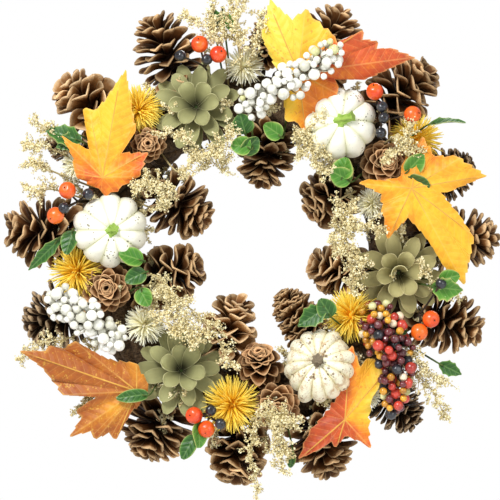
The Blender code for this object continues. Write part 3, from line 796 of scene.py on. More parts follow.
def add_scale(shape, stance, length, radius, core, style, turn, share, generator):
    """Adds one scale of a cone, from the core out to the cone's own outline."""
    profile, curl = style["profile"], style["curl"]
    open_low, open_top = style["open"]
    steps = np.linspace(0, 1, CURVE_STEPS)
    opening = radians(open_low + (open_top - open_low) * share**0.85)
    opening += generator.normal() * 0.09 * style["loose"]
    start = length * (style["from"] + (style["to"] - style["from"]) * share)
    lean = opening + radians(curl) * (steps - 0.45)
    reach = np.concatenate([[0], np.cumsum(np.sin(lean)[1:])]) / (CURVE_STEPS - 1)
    rise = np.concatenate([[0], np.cumsum(np.cos(lean)[1:])]) / (CURVE_STEPS - 1)
    core_radius = core * (1 - 0.6 * share)
    lengths = np.linspace(0.2, 1.5, 40) * radius
    ends = core_radius + lengths * reach[-1]
    heights = start + lengths * rise[-1]
    inside = ends < radius * envelope(profile, heights / length)
    size = lengths[np.argmin(inside)] if not inside.all() else lengths[-1]
    least = radius * style["least"] * (1 - 0.5 * share)
    size = max(size, least) * (1 + generator.normal() * 0.06)

    along = np.array(style["rows"])
    columns = style["columns"]
    across = np.linspace(-1, 1, columns)
    path_out = core_radius + size * np.interp(along, steps, reach)
    path_up = start + size * np.interp(along, steps, rise)
    lean_here = np.interp(along, steps, lean)
    widest = style["width"] * radius * (0.5 + 0.5 * sin(pi * min(1.0, 0.2 + 0.75 * share)))
    widest *= 1 + generator.normal() * 0.08
    half = widest * np.interp(along, *zip(*style["shape"]))
    cup = style["cup"] * half[:, None] * across[None, :] ** 2
    cup = cup - style["ridge"] * half[:, None] * np.exp(-(across[None, :] / 0.3) ** 2)
    twist = generator.normal() * 0.15 * style["loose"]
    sideways = half[:, None] * across[None, :]
    # The scale's own upper side faces back along the axis and out.
    off_out = -np.cos(lean_here)[:, None] * (cup + twist * sideways)
    off_up = np.sin(lean_here)[:, None] * (cup + twist * sideways)
    # The end of a broad scale is round: its corners fall back.
    fall = style["round"] * half[:, None] * (1 - np.sqrt(np.maximum(0, 1 - across[None, :] ** 2 * 0.9)))
    fall = fall * (along[:, None] ** 3)
    out = path_out[:, None] + off_out - fall * np.sin(lean_here)[:, None]
    high = path_up[:, None] + off_up - fall * np.cos(lean_here)[:, None]
    radial, tangent = spoke(turn)
    flat = out[..., None] * radial + sideways[..., None] * tangent
    grid = stance.place(flat, high + stance.base)
    edge = np.maximum(np.abs(across)[None, :], np.clip((along[:, None] - 0.8) / 0.2, 0, 1) * 0.9)
    thick = np.interp(along, [0, 0.5, 0.86, 0.95, 1], style["thick"]) * MM
    thick = thick[:, None] * (1 - 0.55 * np.abs(across)[None, :] ** 2.5)
    add_sheet(shape, grid, thick, 0, along[:, None], edge, generator.normal() * 0.5)


TONGUE = ((0, 0.55), (0.3, 0.66), (0.6, 0.92), (0.78, 1.0), (0.92, 0.74), (1.0, 0.34))
BROAD = ((0, 0.42), (0.3, 0.62), (0.6, 0.94), (0.78, 1.0), (0.92, 0.80), (1.0, 0.42))
FINGER = ((0, 0.60), (0.3, 0.66), (0.6, 0.84), (0.82, 1.0), (0.94, 0.9), (1.0, 0.5))
PETAL = ((0, 0.40), (0.3, 0.64), (0.6, 0.96), (0.8, 1.0), (0.93, 0.74), (1.0, 0.30))
LONG_ROWS = (0, 0.3, 0.58, 0.76, 0.87, 0.94, 0.98, 1.0)

OPEN_CONE = {
    "profile": LONG_PROFILE, "count": 58, "open": (118, 30), "curl": 30, "from": 0.02, "to": 0.74,
    "least": 0.42, "width": 0.27, "shape": TONGUE, "rows": LONG_ROWS, "columns": 7, "cup": 0.30,
    "ridge": 0.2, "round": 0.45, "thick": (1.3, 1.4, 2.1, 1.7, 0.9), "core": 0.34, "loose": 1.5,
}
BROAD_CONE = {**OPEN_CONE, "count": 46, "width": 0.40, "shape": BROAD, "cup": 0.42, "curl": 44,
              "thick": (1.1, 1.2, 1.9, 1.6, 0.9)}
FINGER_CONE = {**OPEN_CONE, "count": 72, "width": 0.20, "shape": FINGER, "cup": 0.2, "curl": 16,
               "open": (112, 26), "thick": (1.3, 1.5, 2.4, 2.2, 1.2), "round": 0.7}
BRISTLE_CONE = {**OPEN_CONE, "count": 110, "width": 0.17, "shape": FINGER, "cup": 0.2, "curl": 26,
                "open": (104, 34), "columns": 5, "thick": (0.9, 1.0, 1.5, 1.3, 0.8), "from": 0.0, "to": 0.84,
                "least": 0.3}
SLIM_CONE = {**BRISTLE_CONE, "count": 150, "width": 0.27, "shape": BROAD, "cup": 0.4, "open": (88, 40),
             "thick": (0.8, 0.9, 1.3, 1.1, 0.7), "to": 0.9}
ROSETTE_CONE = {
    "profile": LOW_PROFILE, "count": 48, "open": (104, 8), "curl": 44, "from": 0.0, "to": 0.84,
    "least": 0.24, "width": 0.36, "shape": PETAL, "rows": LONG_ROWS, "columns": 7, "cup": 0.7,
    "ridge": 0.0, "round": 0.6, "thick": (0.8, 0.8, 1.1, 1.1, 0.7), "core": 0.24, "loose": 1.0,
}
TEASEL_CONE = {**BRISTLE_CONE, "count": 150, "width": 0.12, "open": (85, 25), "curl": 10}

# Style, look, and how far the open scales reach past the solid cone.
CONES = {
    "outer_pine_cone_1": (OPEN_CONE, CONE, 0.92), "outer_pine_cone_2": (OPEN_CONE, CONE, 1.15),
    "outer_pine_cone_3": (BROAD_CONE, CONE, 1.18), "outer_pine_cone_4": (BRISTLE_CONE, DARK_CONE, 1.2),
    "outer_pine_cone_5": (FINGER_CONE, CONE, 1.15), "outer_pine_cone_6": (OPEN_CONE, CONE, 1.2),
    "outer_pine_cone_7": (BRISTLE_CONE, DARK_CONE, 1.25), "outer_pine_cone_8": (OPEN_CONE, CONE, 1.25),
    "outer_pine_cone_9": (BROAD_CONE, CONE, 1.2), "outer_pine_cone_10": (OPEN_CONE, CONE, 1.15),
    "outer_pine_cone_11": (FINGER_CONE, DARK_CONE, 1.2), "outer_pine_cone_12": (OPEN_CONE, CONE, 1.2),
    "outer_pine_cone_13": (BROAD_CONE, PALE_CONE, 1.12), "outer_pine_cone_14": (OPEN_CONE, CONE, 1.12),
    "inner_pine_cone_1": (OPEN_CONE, CONE, 1.3), "inner_pine_cone_2": (BROAD_CONE, CONE, 1.35),
    "inner_pine_cone_3": (BROAD_CONE, PALE_CONE, 1.35), "inner_pine_cone_4": (SLIM_CONE, CONE, 1.25),
    "inner_pine_cone_5": (BROAD_CONE, PALE_CONE, 1.3), "inner_pine_cone_6": (BROAD_CONE, CONE, 1.4),
    "inner_pine_cone_7": (OPEN_CONE, CONE, 1.4), "teasel_head": (TEASEL_CONE, TEASEL, 1.1),
    "rosette_cone_1": (ROSETTE_CONE, ROSETTE, 1.05), "rosette_cone_2": (ROSETTE_CONE, ROSETTE, 1.18),
    "rosette_cone_3": (ROSETTE_CONE, ROSETTE, 1.12), "rosette_cone_4": (ROSETTE_CONE, ROSETTE, 1.15),
    "rosette_cone_5": (ROSETTE_CONE, ROSETTE, 1.15),
}


def add_stalk(shape, stance, radius, look, generator):
    """Adds the wired stalk under a head, from inside the vine bundle up to the head."""
    heights = np.linspace(TUBE * STALK_DEPTH, stance.base + 2 * MM, 6)
    across = np.cumsum(generator.normal(size=(6, 2)) * 0.12 * MM, axis=0)
    path = stance.place(across - across[-1], heights)
    add_stem(shape, path, radius, 8, look, 4, 0.08)


def build_cone(name, seed):
    """Builds one cone: a core and its scales, each turned on from the last."""
    style, look, reach = CONES[name]
    stance = Stance(name)
    radius = stance.radius * reach
    generator = np.random.default_rng(seed)
    shape = Shape()
    length = stance.top - stance.base
    core = style["core"] * stance.radius
    heights = np.linspace(0.0, style["to"] + 0.08, 9) * length + stance.base
    radii = core * np.interp(np.linspace(0, 1, 9), [0, 0.15, 0.7, 1], [0.5, 1, 0.7, 0.25])
    # The core takes the darkest root colours and a low tone: painted shade deep inside the cone.
    shape.add(tube(stance.place(np.zeros((9, 2)), heights), radii, 10), 0, 0.05, 0.0, -0.6)
    start = generator.uniform(0, 2 * pi)
    for index in range(style["count"]):
        share = index / (style["count"] - 1)
        turn = start + index * GOLDEN
        add_scale(shape, stance, length, radius, core, style, turn, share, generator)
    add_stalk(shape, stance, 1.5 * MM, 1, generator)
    slot = "teasel" if name == "teasel_head" else "pine_cone"
    shape.make("detailed_" + name, [look, TWIG], slot, [name])


# ---------------------------------------------------------------- pumpkins

PUMPKIN_HEIGHT = 38 * MM


def build_pumpkin(name, lobes, depth, look, stem_material, bend, seed):
    """Builds a pumpkin: uneven ribs that meet in a dimple, and a fluted stalk."""
    stance = Stance(name)
    generator = np.random.default_rng(seed)
    shape = Shape()
    dimple = 0.9 * PUMPKIN_HEIGHT
    body_top = 0.97 * PUMPKIN_HEIGHT
    rows, columns = 46, lobes * 16
    angles = np.arange(columns) * 2 * pi / columns
    slant = np.linspace(0.03, 0.985, rows)
    profile_wide = (0.0, 0.42, 0.80, 0.985, 1.0, 0.90, 0.66, 0.36, 0.15, 0.06)
    profile_high = (0.03, 0.01, 0.12, 0.34, 0.52, 0.74, 0.93, 0.99, 0.93, 0.885)
    keys = np.linspace(0, 1, len(profile_wide))
    wide = np.interp(slant, keys, profile_wide)
    high = np.interp(slant, keys, profile_high)
    for smoothing in range(3):
        wide[1:-1] = (wide[:-2] + 2 * wide[1:-1] + wide[2:]) / 4
        high[1:-1] = (high[:-2] + 2 * high[1:-1] + high[2:]) / 4
    phase = angles * lobes / 2
    swell = np.abs(np.sin(phase)) ** 0.75
    which = np.floor(angles * lobes / (2 * pi)).astype(int)
    size = (1 + generator.normal(size=lobes) * 0.035)[which]
    lift = (generator.normal(size=lobes) * 0.03)[which]
    bulge = depth * (swell - 1) + (size - 1) * swell
    groove_share = np.minimum(1, wide / 0.5)
    reach = stance.radius * wide[:, None] * (1 + bulge[None, :] * (0.4 + 0.6 * groove_share[:, None]))
    shoulder = np.exp(-((slant - 0.68) / 0.2) ** 2)
    ribs = (depth * 0.55 * (swell - 1) + lift * swell)[None, :] * shoulder[:, None]
    height = body_top * (high[:, None] + ribs)
    flat = np.stack([reach * np.cos(angles), reach * np.sin(angles)], -1)
    rings = stance.place(flat, stance.base + height)
    groove = np.broadcast_to(1 - swell[None, :], (rows, columns)).ravel()
    edge = np.concatenate([groove, [1, 1]])
    shape.add(closed_tube(rings), 0, ring_values(slant, columns), edge)

    steps = 14
    share = np.linspace(0, 1, steps)
    tall = stance.top - stance.base - dimple
    bend = np.asarray(bend, float)
    across = bend[None, :] * (share[:, None] ** 1.6) * tall
    rise = stance.base + dimple - 1.5 * MM + (tall + 1.5 * MM) * share * (1 - 0.12 * share**2)
    girth = np.interp(share, [0, 0.12, 0.3, 0.85, 1], [6.6, 4.6, 2.9, 2.8, 3.6]) * MM
    stalk = tube(stance.place(across, rise), girth, 20, 5, 0.2, 0.07)
    edge = np.concatenate([np.tile(np.arange(20) / 20, steps), [0.5, 0.5]])
    shape.add(stalk, 1, ring_values(share, 20), edge)
    slot = "mottled_pumpkin" if name == "mottled_pumpkin" else "white_pumpkin"
    shape.make("detailed_" + name, [look, stem_material], slot, [name])


# ---------------------------------------------------------------- wood flowers

SHAVING = 0.55 * MM  # how thick a shaving is
WHORLS = (
    # petals, reach, rise of the tip, width, start height, steepness
    (11, 1.10, 0.34, 0.37, 0.12, 0.08),
    (8, 0.94, 0.56, 0.38, 0.16, 0.12),
    (6, 0.58, 0.90, 0.40, 0.24, 0.30),
)


def build_flower(name, look, seed, curled):
    """Builds a flower of thin shavings in whorls round a hollow middle."""
    stance = Stance(name)
    generator = np.random.default_rng(seed)
    shape = Shape()
    tall = stance.top - stance.seat
    rows, columns = 12, 9
    along = np.linspace(0, 1, rows)
    across = np.linspace(-1, 1, columns)
    outline = np.interp(along, [0, 0.15, 0.35, 0.55, 0.75, 0.88, 0.95, 1],
                        [0.22, 0.42, 0.76, 0.96, 1.0, 0.84, 0.62, 0.30])
    for ring, (petals, reach, rise, width, start, steep) in enumerate(WHORLS):
        first = generator.uniform(0, 2 * pi)
        for index in range(petals):
            turn = first + 2 * pi * index / petals + generator.normal() * 0.08
            far = stance.radius * reach * (1 + generator.normal() * 0.035)
            tip = tall * rise * (1 + generator.normal() * 0.03)
            bottom = tall * start
            out = 1.2 * MM + (far - 1.2 * MM) * along
            # Petals rise steeply at first and then lie outward, with a slight droop at the tip.
            up = bottom + (tip - bottom) * np.sin(along * pi / 2) ** (1.0 + steep)
            up -= 0.07 * tall * along**6
            half = stance.radius * width * 0.5 * outline
            cup = (0.2, 0.28, 0.5)[ring] * half[:, None] * across[None, :] ** 2
            wave = 0.05 * half[:, None] * np.sin(3 * across[None, :] + generator.uniform(0, 6))
            skew = generator.normal() * 0.10 * across[None, :] * half[:, None]
            sideways = half[:, None] * across[None, :]
            radial, tangent = spoke(turn)
            flat = (out[:, None] - 0.25 * cup)[..., None] * radial + sideways[..., None] * tangent
            grid = stance.place(flat, stance.seat + up[:, None] + cup + wave + skew)
            edge = np.maximum(np.abs(across)[None, :], np.clip((along[:, None] - 0.85) / 0.15, 0, 1))
            add_sheet(shape, grid, SHAVING, 0, along[:, None], edge, generator.normal() * 0.4)
    if curled:
        # One shaving stands rolled in the middle.
        angle = np.linspace(0.4, 3.4, columns)
        rise = np.linspace(0.35, 1.12, rows)[:, None] * tall
        roll = stance.radius * (0.10 + 0.10 * along)[:, None] * (0.8 + 0.12 * angle[None, :])
        flat = np.stack([roll * np.cos(angle), roll * np.sin(angle)], -1)
        grid = stance.place(flat, np.broadcast_to(stance.seat + rise, roll.shape))
        edge = np.clip((along[:, None] - 0.8) / 0.2, 0, 1)
        add_sheet(shape, grid, SHAVING, 0, 0.35 + 0.5 * along[:, None], edge, 0.3, 0.0)
    heights = np.linspace(TUBE * STALK_DEPTH, stance.seat + 0.2 * tall, 5)
    girth = np.array([2.0, 2.0, 2.5, 3.5, 2.0]) * MM
    shape.add(tube(stance.place(np.zeros((5, 2)), heights), girth, 10), 1, 0.4, 0.5)
    shape.make("detailed_" + name, [look, GREEN_STEM], "sage_wood", [name])


# ---------------------------------------------------------------- thistle heads

def build_thistle(name, look, count, width, reach, spread, droop, slot, seed):
    """Builds a head of thin straps that spring from one point and bend over."""
    stance = Stance(name)
    generator = np.random.default_rng(seed)
    shape = Shape()
    root = stance.base + (stance.top - stance.base) * 0.30
    steps = np.linspace(0, 1, 6)
    for index in range(count):
        share = (index + 0.5) / count
        lean = radians(spread) * share**0.62 + generator.normal() * 0.06
        turn = index * GOLDEN + generator.normal() * 0.1
        size = stance.radius * reach * (1.05 - 0.10 * share) * (1 + generator.normal() * 0.08)
        bend = droop * (0.25 + share) * (1 + generator.normal() * 0.35)
        angle = lean + bend * (steps - 0.2)
        out = 0.10 * size + np.concatenate([[0], np.cumsum(np.sin(angle[1:]))]) * size / 5.4
        up = np.concatenate([[0], np.cumsum(np.cos(angle[1:]))]) * size / 5.4
        sway = generator.normal() * 0.12 * size * steps**2
        radial, tangent = spoke(turn)
        flat = out[:, None] * radial + sway[:, None] * tangent
        path = stance.place(flat, root + up)
        girth = width * MM * np.array([0.75, 1.0, 1.0, 0.95, 0.8, 0.4])
        shape.add(tube(path, girth, 4), 0, ring_values(steps * (0.75 + 0.25 * generator.random()), 4), 0.5,
                  generator.normal() * 0.6)
    heights = root + np.linspace(-0.45, 0.25, 7) * stance.radius
    girth = stance.radius * np.array([0.12, 0.28, 0.36, 0.36, 0.28, 0.16, 0.05])
    shape.add(tube(stance.place(np.zeros((7, 2)), heights), girth, 12), 0, 0.02, 0.5, -0.5)
    add_stalk(shape, stance, 1.4 * MM, 1, generator)
    shape.make("detailed_" + name, [look, GREY_TWIG], slot, [name])


# ---------------------------------------------------------------- leaves

# Leaf outlines: the clock heading from the hub, and the reach in mm.
LEAF_LEFT = (
    (12, 79.6), (24.7, 51.8), (35.2, 41.4), (38, 22.3), (60.4, 37.2), (85.4, 27.7), (123.7, 14.6),
    (166, 13.6), (223, 9.1), (272, 18.8), (284, 20.9), (303.7, 25.2), (315.4, 42.4), (322.3, 30.6),
    (334.3, 22.8), (343.8, 51.3), (356.2, 50.1), (363.3, 58.2), (368.8, 69.9),
)
LEAF_TOP = (
    (6.3, 46.6), (19.1, 40.4), (41, 37), (51.7, 35.6), (56.3, 55.6), (62.4, 52.3), (67.4, 61.3),
    (72.7, 59.3), (74.5, 68.7), (82.1, 85.3), (95.2, 48.7), (99.5, 26.8), (113.6, 31.3), (135.9, 32.7),
    (160.9, 38.1), (173.1, 42.9), (184.9, 34.7), (195.8, 35.1), (209.2, 21.1), (216.3, 13.7),
    (250, 10), (282.8, 16.6), (314.2, 36.9), (326, 44), (339, 57.5), (353.4, 38.5),
)
LEAF_RIGHT = (
    (11.7, 38), (36.6, 28.9), (54, 39.5), (80.4, 55.5), (95.4, 26.6), (98, 21.1), (118.6, 38.9),
    (127.6, 57.1), (138, 64), (150.9, 79.4), (157.3, 60.1), (161.9, 39), (174.3, 26.1), (187, 21),
    (205, 40.1), (228.3, 28.1), (259.6, 22), (275.1, 38), (281.2, 32.6), (286.6, 19.6), (320, 12),
    (340.9, 19.1),
)
LEAF_LOWER_LEFT = (
    (0, 19.8), (45, 10), (90, 8), (162, 9), (195, 16), (203, 37.8), (214, 36), (220, 45.2), (229, 44),
    (235.6, 58.4), (245, 44), (252, 45.9), (256, 38), (262, 29.5), (267, 53), (278.5, 62.4),
    (283.6, 69), (289, 88.9), (294, 72), (297.2, 71.4), (301, 60), (309.3, 57.1), (318, 30.8), (340, 22),
)
LEAF_LOWER_RIGHT = (
    (5.3, 53.7), (16.6, 39.9), (20.1, 47), (40.5, 51.8), (46, 34), (54.3, 23.3), (64, 20.4), (109, 17.9),
    (138, 27.5), (149, 17.1), (181.7, 12.2), (197.5, 20.8), (211.9, 18.5), (219.4, 26.4), (224.1, 32.5),
    (229.2, 43.9), (237.5, 35.9), (252.5, 27), (276.7, 15.7), (338.9, 17.3), (354.5, 45.8),
)

# Node, look, hub (clock, across, height), outline, main veins (heading, rise of the tip in mm),
# and tones: (heading, tone near the hub, tone at the tip), 0 yellow to 1 dark red.
MAPLE_LEAVES = (
    ("maple_leaf_left", MAPLE, (296, 12, 29), LEAF_LEFT,
     ((10, 0), (349, -6), (315, -9), (60, 3), (88, 2), (278, 0)),
     ((10, 0.36, 0.22), (60, 0.36, 0.74), (120, 0.6, 0.66), (278, 0.74, 0.6), (315, 0.6, 0.5),
      (349, 0.36, 0.3)),
     (298, 20)),
    ("maple_leaf_top", RED_MAPLE, (15, 25, 31), LEAF_TOP,
     ((337, -6), (6, -6), (56, -3), (82, -5), (118, 1), (173, -4), (315, -3)),
     ((6, 0.25, 0.12), (36, 0.35, 0.3), (52, 0.62, 0.78), (82, 0.68, 0.84), (120, 0.5, 0.62),
      (165, 0.5, 0.72), (192, 0.3, 0.2), (220, 0.2, 0.1), (337, 0.1, 0.02)), (8, 50)),
    ("maple_leaf_right", MAPLE, (69, 17, 29), LEAF_RIGHT,
     ((12, -2), (58, -6), (80, -8), (127, -7), (151, -9), (205, -3), (275, 3)),
     ((12, 0.35, 0.55), (80, 0.3, 0.4), (151, 0.28, 0.3), (205, 0.25, 0.5), (275, 0.3, 0.45)), (70, 40)),
    ("maple_leaf_lower_left", BROWN_MAPLE, (219, 24, 29), LEAF_LOWER_LEFT,
     ((289, 1), (309, -5), (235.6, -7), (203, -8), (220, -7), (0, 0), (267, -3)),
     ((289, 0.55, 0.55), (309, 0.5, 0.6), (250, 0.3, 0.65), (236, 0.15, 0.55), (203, 0.4, 0.6),
      (0, 0.45, 0.3)),
     (226, 50)),
    ("maple_leaf_lower_right", RED_MAPLE, (151, 33, 24), LEAF_LOWER_RIGHT,
     ((4, 5), (40, 3), (138, -3), (229, -4), (197, -4)),
     ((4, 0.76, 0.72), (24, 0.5, 0.2), (44, 0.4, 0.05), (80, 0.4, 0.12), (110, 0.5, 0.4), (138, 0.66, 0.74),
      (229, 0.82, 0.86), (340, 0.82, 0.82)), (147, 60)),
)


def toothed(outline, step=3.6, tooth=1.5):
    """Fills in an outline between its key points, with small teeth."""
    points = []
    for index, (heading, reach) in enumerate(outline):
        after_heading, after_reach = outline[(index + 1) % len(outline)]
        after_heading += 360 if after_heading <= heading else 0
        near = reach * outward(heading)
        far = after_reach * outward(after_heading)
        count = max(1, int(round(np.linalg.norm(far - near) / step)))
        for number in range(count):
            spot_between = near + (far - near) * number / count
            jag = 0 if number == 0 else tooth * (0.8 if number % 2 else -0.7)
            slide = (far - near) * 0.32 / count if number % 2 else 0
            slide = slide if after_reach > reach else -slide
            spot_between = spot_between + slide
            angle = np.degrees(atan2(spot_between[0], spot_between[2]))
            points.append((angle, np.linalg.norm(spot_between) + jag))
    return points


# Turns a leaf's own right, up and forward to the wreath's axes.
LEAF_TO_WREATH = np.array([[1.0, 0, 0], [0, 0, 1.0], [0, -1.0, 0]])


def leaf_grid(middle, outline, veins, rings, curl, generator):
    """Points of a leaf from its hub to its rim, with the vein places and tones' headings."""
    headings = np.radians([heading for heading, reach in outline])
    reaches = np.array([reach for heading, reach in outline]) * MM
    share = np.linspace(0.02, 1, rings)[:, None]
    reach = share * reaches[None, :]
    vein_ways = np.radians([heading for heading, rise in veins])
    apart = np.abs((headings[:, None] - vein_ways[None, :] + pi) % (2 * pi) - pi)
    nearest = apart.argmin(axis=1)
    swing = (headings - vein_ways[nearest] + pi) % (2 * pi) - pi
    along = reach * np.cos(swing)[None, :]
    off = reach * np.sin(swing)[None, :]
    rise = np.array([rise for heading, rise in veins])[nearest] * MM
    # The blade dips to each side of a vein and ripples towards its rim.
    bend = (reach / 0.06) ** 2 * np.cos(swing)[None, :] ** 2 * rise[None, :]
    dip = -0.26 * np.abs(off) * np.minimum(1, reach / (8 * MM))
    ripple = curl * MM * (share**3) * np.sin(headings * 9 + generator.uniform(0, 6))[None, :]
    forward = bend + dip + ripple
    right = np.sin(headings)[None, :] * reach
    up = np.cos(headings)[None, :] * reach
    local = np.stack([right, up, forward], -1)
    grid = middle + local @ LEAF_TO_WREATH
    return grid, along / MM, off / MM, share + 0 * reach


def add_leaf(shape, grid, along, off, edge, tone, thickness, look=0):
    """Adds a leaf blade: rings of points closed on themselves, front and back."""
    rows, columns = grid.shape[:2]
    down = np.gradient(grid, axis=0)
    across = np.roll(grid, -1, axis=1) - np.roll(grid, 1, axis=1)
    normal = unit(np.cross(across, down))
    half = normal * (thickness / 2 * (1 - 0.5 * edge[..., None] ** 6))
    front = (grid + half).reshape(-1, 3)
    back = (grid - half).reshape(-1, 3)
    hubs = [front[:columns].mean(axis=0), back[:columns].mean(axis=0)]
    points = np.concatenate([front, back, hubs])
    number = rows * columns
    face = cells(rows, columns, True)
    here = np.arange(columns)
    after = (here + 1) % columns
    last = (rows - 1) * columns
    hub_front = np.stack([np.full(columns, 2 * number), after, here], -1)
    hub_back = np.stack([np.full(columns, 2 * number + 1), here + number, after + number], -1)
    rim = [np.stack([last + after, last + here, last + here + number], -1)]
    rim.append(np.stack([last + after, last + here + number, last + after + number], -1))
    faces = np.concatenate([face, face[:, ::-1] + number, hub_front, hub_back, *rim])

    def doubled(values):
        """Repeats values for the blade's front, its back and the two points at its hub."""
        flat = np.broadcast_to(values, (rows, columns)).ravel()
        return np.concatenate([flat, flat, [flat[0], flat[0]]])

    shape.add((points, faces), look, doubled(along), doubled(edge), doubled(tone), doubled(off))


def build_maple_leaf(name, look, hub, outline, veins, tones, root, seed):
    """Builds a maple leaf, and its stalk and ribs."""
    generator = np.random.default_rng(seed)
    shape = Shape()
    full = toothed(outline)
    middle = spot(*hub)
    grid, along, off, edge = leaf_grid(middle, full, veins, 16, 2.4, generator)
    headings = np.array([heading % 360 for heading, reach in full])
    order = sorted((heading % 360, near, far) for heading, near, far in tones)
    keys = [order[-1][0] - 360, *[item[0] for item in order], order[0][0] + 360]
    near = np.interp(headings, keys, [order[-1][1], *[item[1] for item in order], order[0][1]])
    far = np.interp(headings, keys, [order[-1][2], *[item[2] for item in order], order[0][2]])
    tone = near[None, :] + (far - near)[None, :] * edge**1.3
    add_leaf(shape, grid, along, off, edge, tone, 0.7 * MM)
    leaf = shape.make("detailed_" + name, [look], "maple_leaf", [name])

    stalk = Shape()
    foot = seat(*root)
    lift = unit(foot - (CENTRE + outward(root[0]) * RING + FORWARD * TUBE_BACK))
    path = smooth_path([foot, foot + lift * hub[2] * 0.4 * MM, middle + np.array([0, 0.8 * MM, 0])], 8)
    add_stem(stalk, path, np.linspace(1.3, 0.9, len(path)) * MM, 8, 0, 3, 0.08)
    for heading, rise in veins:
        steps = np.linspace(0, 0.86, 14)
        reach = np.interp(heading % 360, *sorted_outline(full)) * MM * steps
        forward = (reach / 0.06) ** 2 * rise * MM
        rib = middle + outward(heading)[None, :] * reach[:, None] + FORWARD * (forward - 0.15 * MM)[:, None]
        stalk.add(tube(rib, np.linspace(0.75, 0.25, 14) * MM, 6), 1, ring_values(steps, 6), 0.5)
    stalk.make(name + "_stalk", [TWIG, MAPLE_RIB], "maple_leaf")


def sorted_outline(outline):
    """An outline's headings and reaches, in order, for looking a reach up."""
    order = sorted((heading % 360, reach) for heading, reach in outline)
    return [heading for heading, reach in order], [reach for heading, reach in order]


MAPLE_RIB = stem_look("leaf rib", (0.55, 0.26, 0.03), (0.90, 0.58, 0.14))

# Small green leaves: dark or not, stalk end and tip (x, z, height) in mm, width, teeth.
GREEN_LEAVES = (
    (1, (-4, 84, 30), (-8, 97, 36), 15, 0), (1, (-6, 70, 30), (5, 80, 34), 13, 0),
    (0, (0, 74, 33), (-14, 76, 36), 13, 0), (1, (-122, 78, 22), (-148, 88, 24), 13, 1),
    (1, (-124, 82, 20), (-140, 74, 24), 11, 1), (1, (-128, 14, 22), (-134, -2, 28), 12, 0),
    (1, (-137, 9, 18), (-162, -15, 14), 8, 1), (0, (-78, -8, 30), (-94, -2, 36), 13, 0),
    (1, (-76, -16, 30), (-90, -22, 35), 12, 0), (0, (-80, -28, 30), (-74, -40, 33), 12, 0),
    (0, (66, 52, 28), (68, 66, 33), 16, 0), (0, (72, 50, 28), (58, 56, 34), 14, 0),
    (0, (112, 56, 27), (124, 68, 32), 13, 0), (1, (114, 52, 27), (128, 45, 31), 13, 0),
    (1, (54, -42, 26), (34, -54, 30), 13, 1), (1, (58, -48, 26), (50, -36, 31), 13, 0),
    (0, (130, -26, 26), (152, -30, 30), 15, 1), (0, (136, -22, 24), (150, -18, 27), 11, 0),
    (0, (-38, -124, 27), (-36, -142, 31), 12, 0), (1, (-40, -134, 25), (-50, -150, 28), 11, 0),
    (1, (-74, -104, 30), (-96, -106, 36), 9, 0), (1, (128, 90, 22), (154, 96, 24), 12, 1),
    (1, (-28, 174, 16), (-20, 160, 18), 7, 1), (0, (-20, 172, 14), (-12, 158, 18), 7, 0),
    (1, (30, -146, 22), (28, -158, 18), 6, 0), (1, (136, -82, 18), (152, -90, 20), 9, 1),
    (0, (22, 82, 28), (10, 90, 33), 12, 0), (1, (100, -50, 24), (112, -60, 26), 10, 0),
)


LEAF_PIECES = 4  # the green leaves are shared out over this many pieces


def build_green_leaves():
    """Builds the small variegated leaves, a few to a piece."""
    generator = np.random.default_rng(77)
    shapes = [Shape() for number in range(LEAF_PIECES)]
    for number, (dark, start, end, width, teeth) in enumerate(GREEN_LEAVES):
        shape = shapes[number * LEAF_PIECES // len(GREEN_LEAVES)]
        near, far = flat_spot(*start), flat_spot(*end)
        length = np.linalg.norm(far - near)
        way = (far - near) / length
        side = unit(np.cross(way, FORWARD))
        face = unit(np.cross(side, way))
        tilt = generator.normal() * 0.35
        side, face = side * cos(tilt) + face * sin(tilt), face * cos(tilt) - side * sin(tilt)
        rows, columns = 13, 9
        along = np.linspace(0, 1, rows)
        across = np.linspace(-1, 1, columns)
        half = width * MM * 0.56 * np.maximum(0.04, np.sin(pi * along**0.85)) ** (0.5 if not teeth else 0.9)
        if teeth:
            half = half * (1 + 0.22 * (np.arange(rows) % 3 == 1))
        fold = 0.28 * half[:, None] * np.abs(across)[None, :]
        curl = -0.16 * length * (along**2)[:, None]
        wave = 0.5 * MM * np.sin(along * 9 + generator.uniform(0, 6))[:, None] * across[None, :]
        sideways = half[:, None] * across[None, :]
        grid = near + way * (length * along)[:, None, None] + side * sideways[..., None]
        grid = grid + face * (fold + curl + wave)[..., None]
        off = sideways / MM
        rim = np.maximum(np.abs(across)[None, :], np.clip((along[:, None] - 0.9) / 0.1, 0, 1))
        tone = both_sides(np.abs(across)[None, :] ** 5 * 0.95 + 0.1 * generator.random(), (rows, columns))
        add_sheet(shape, grid, 0.5 * MM, dark, along[:, None] * length / MM, rim * 0.95, tone, off)
        stalk = smooth_path([rooted(near), near - way * 1.5 * MM, near + way * length * 0.2], 8)
        girth = np.linspace(0.8, 0.5, len(stalk)) * MM
        add_stem(shape, stalk, girth, 6, 2)
    for number, shape in enumerate(shapes):
        shape.make(f"green_leaves_{number + 1}", [GREEN, DARK_GREEN, GREEN_STEM], "maple_leaf")


# ---------------------------------------------------------------- berries

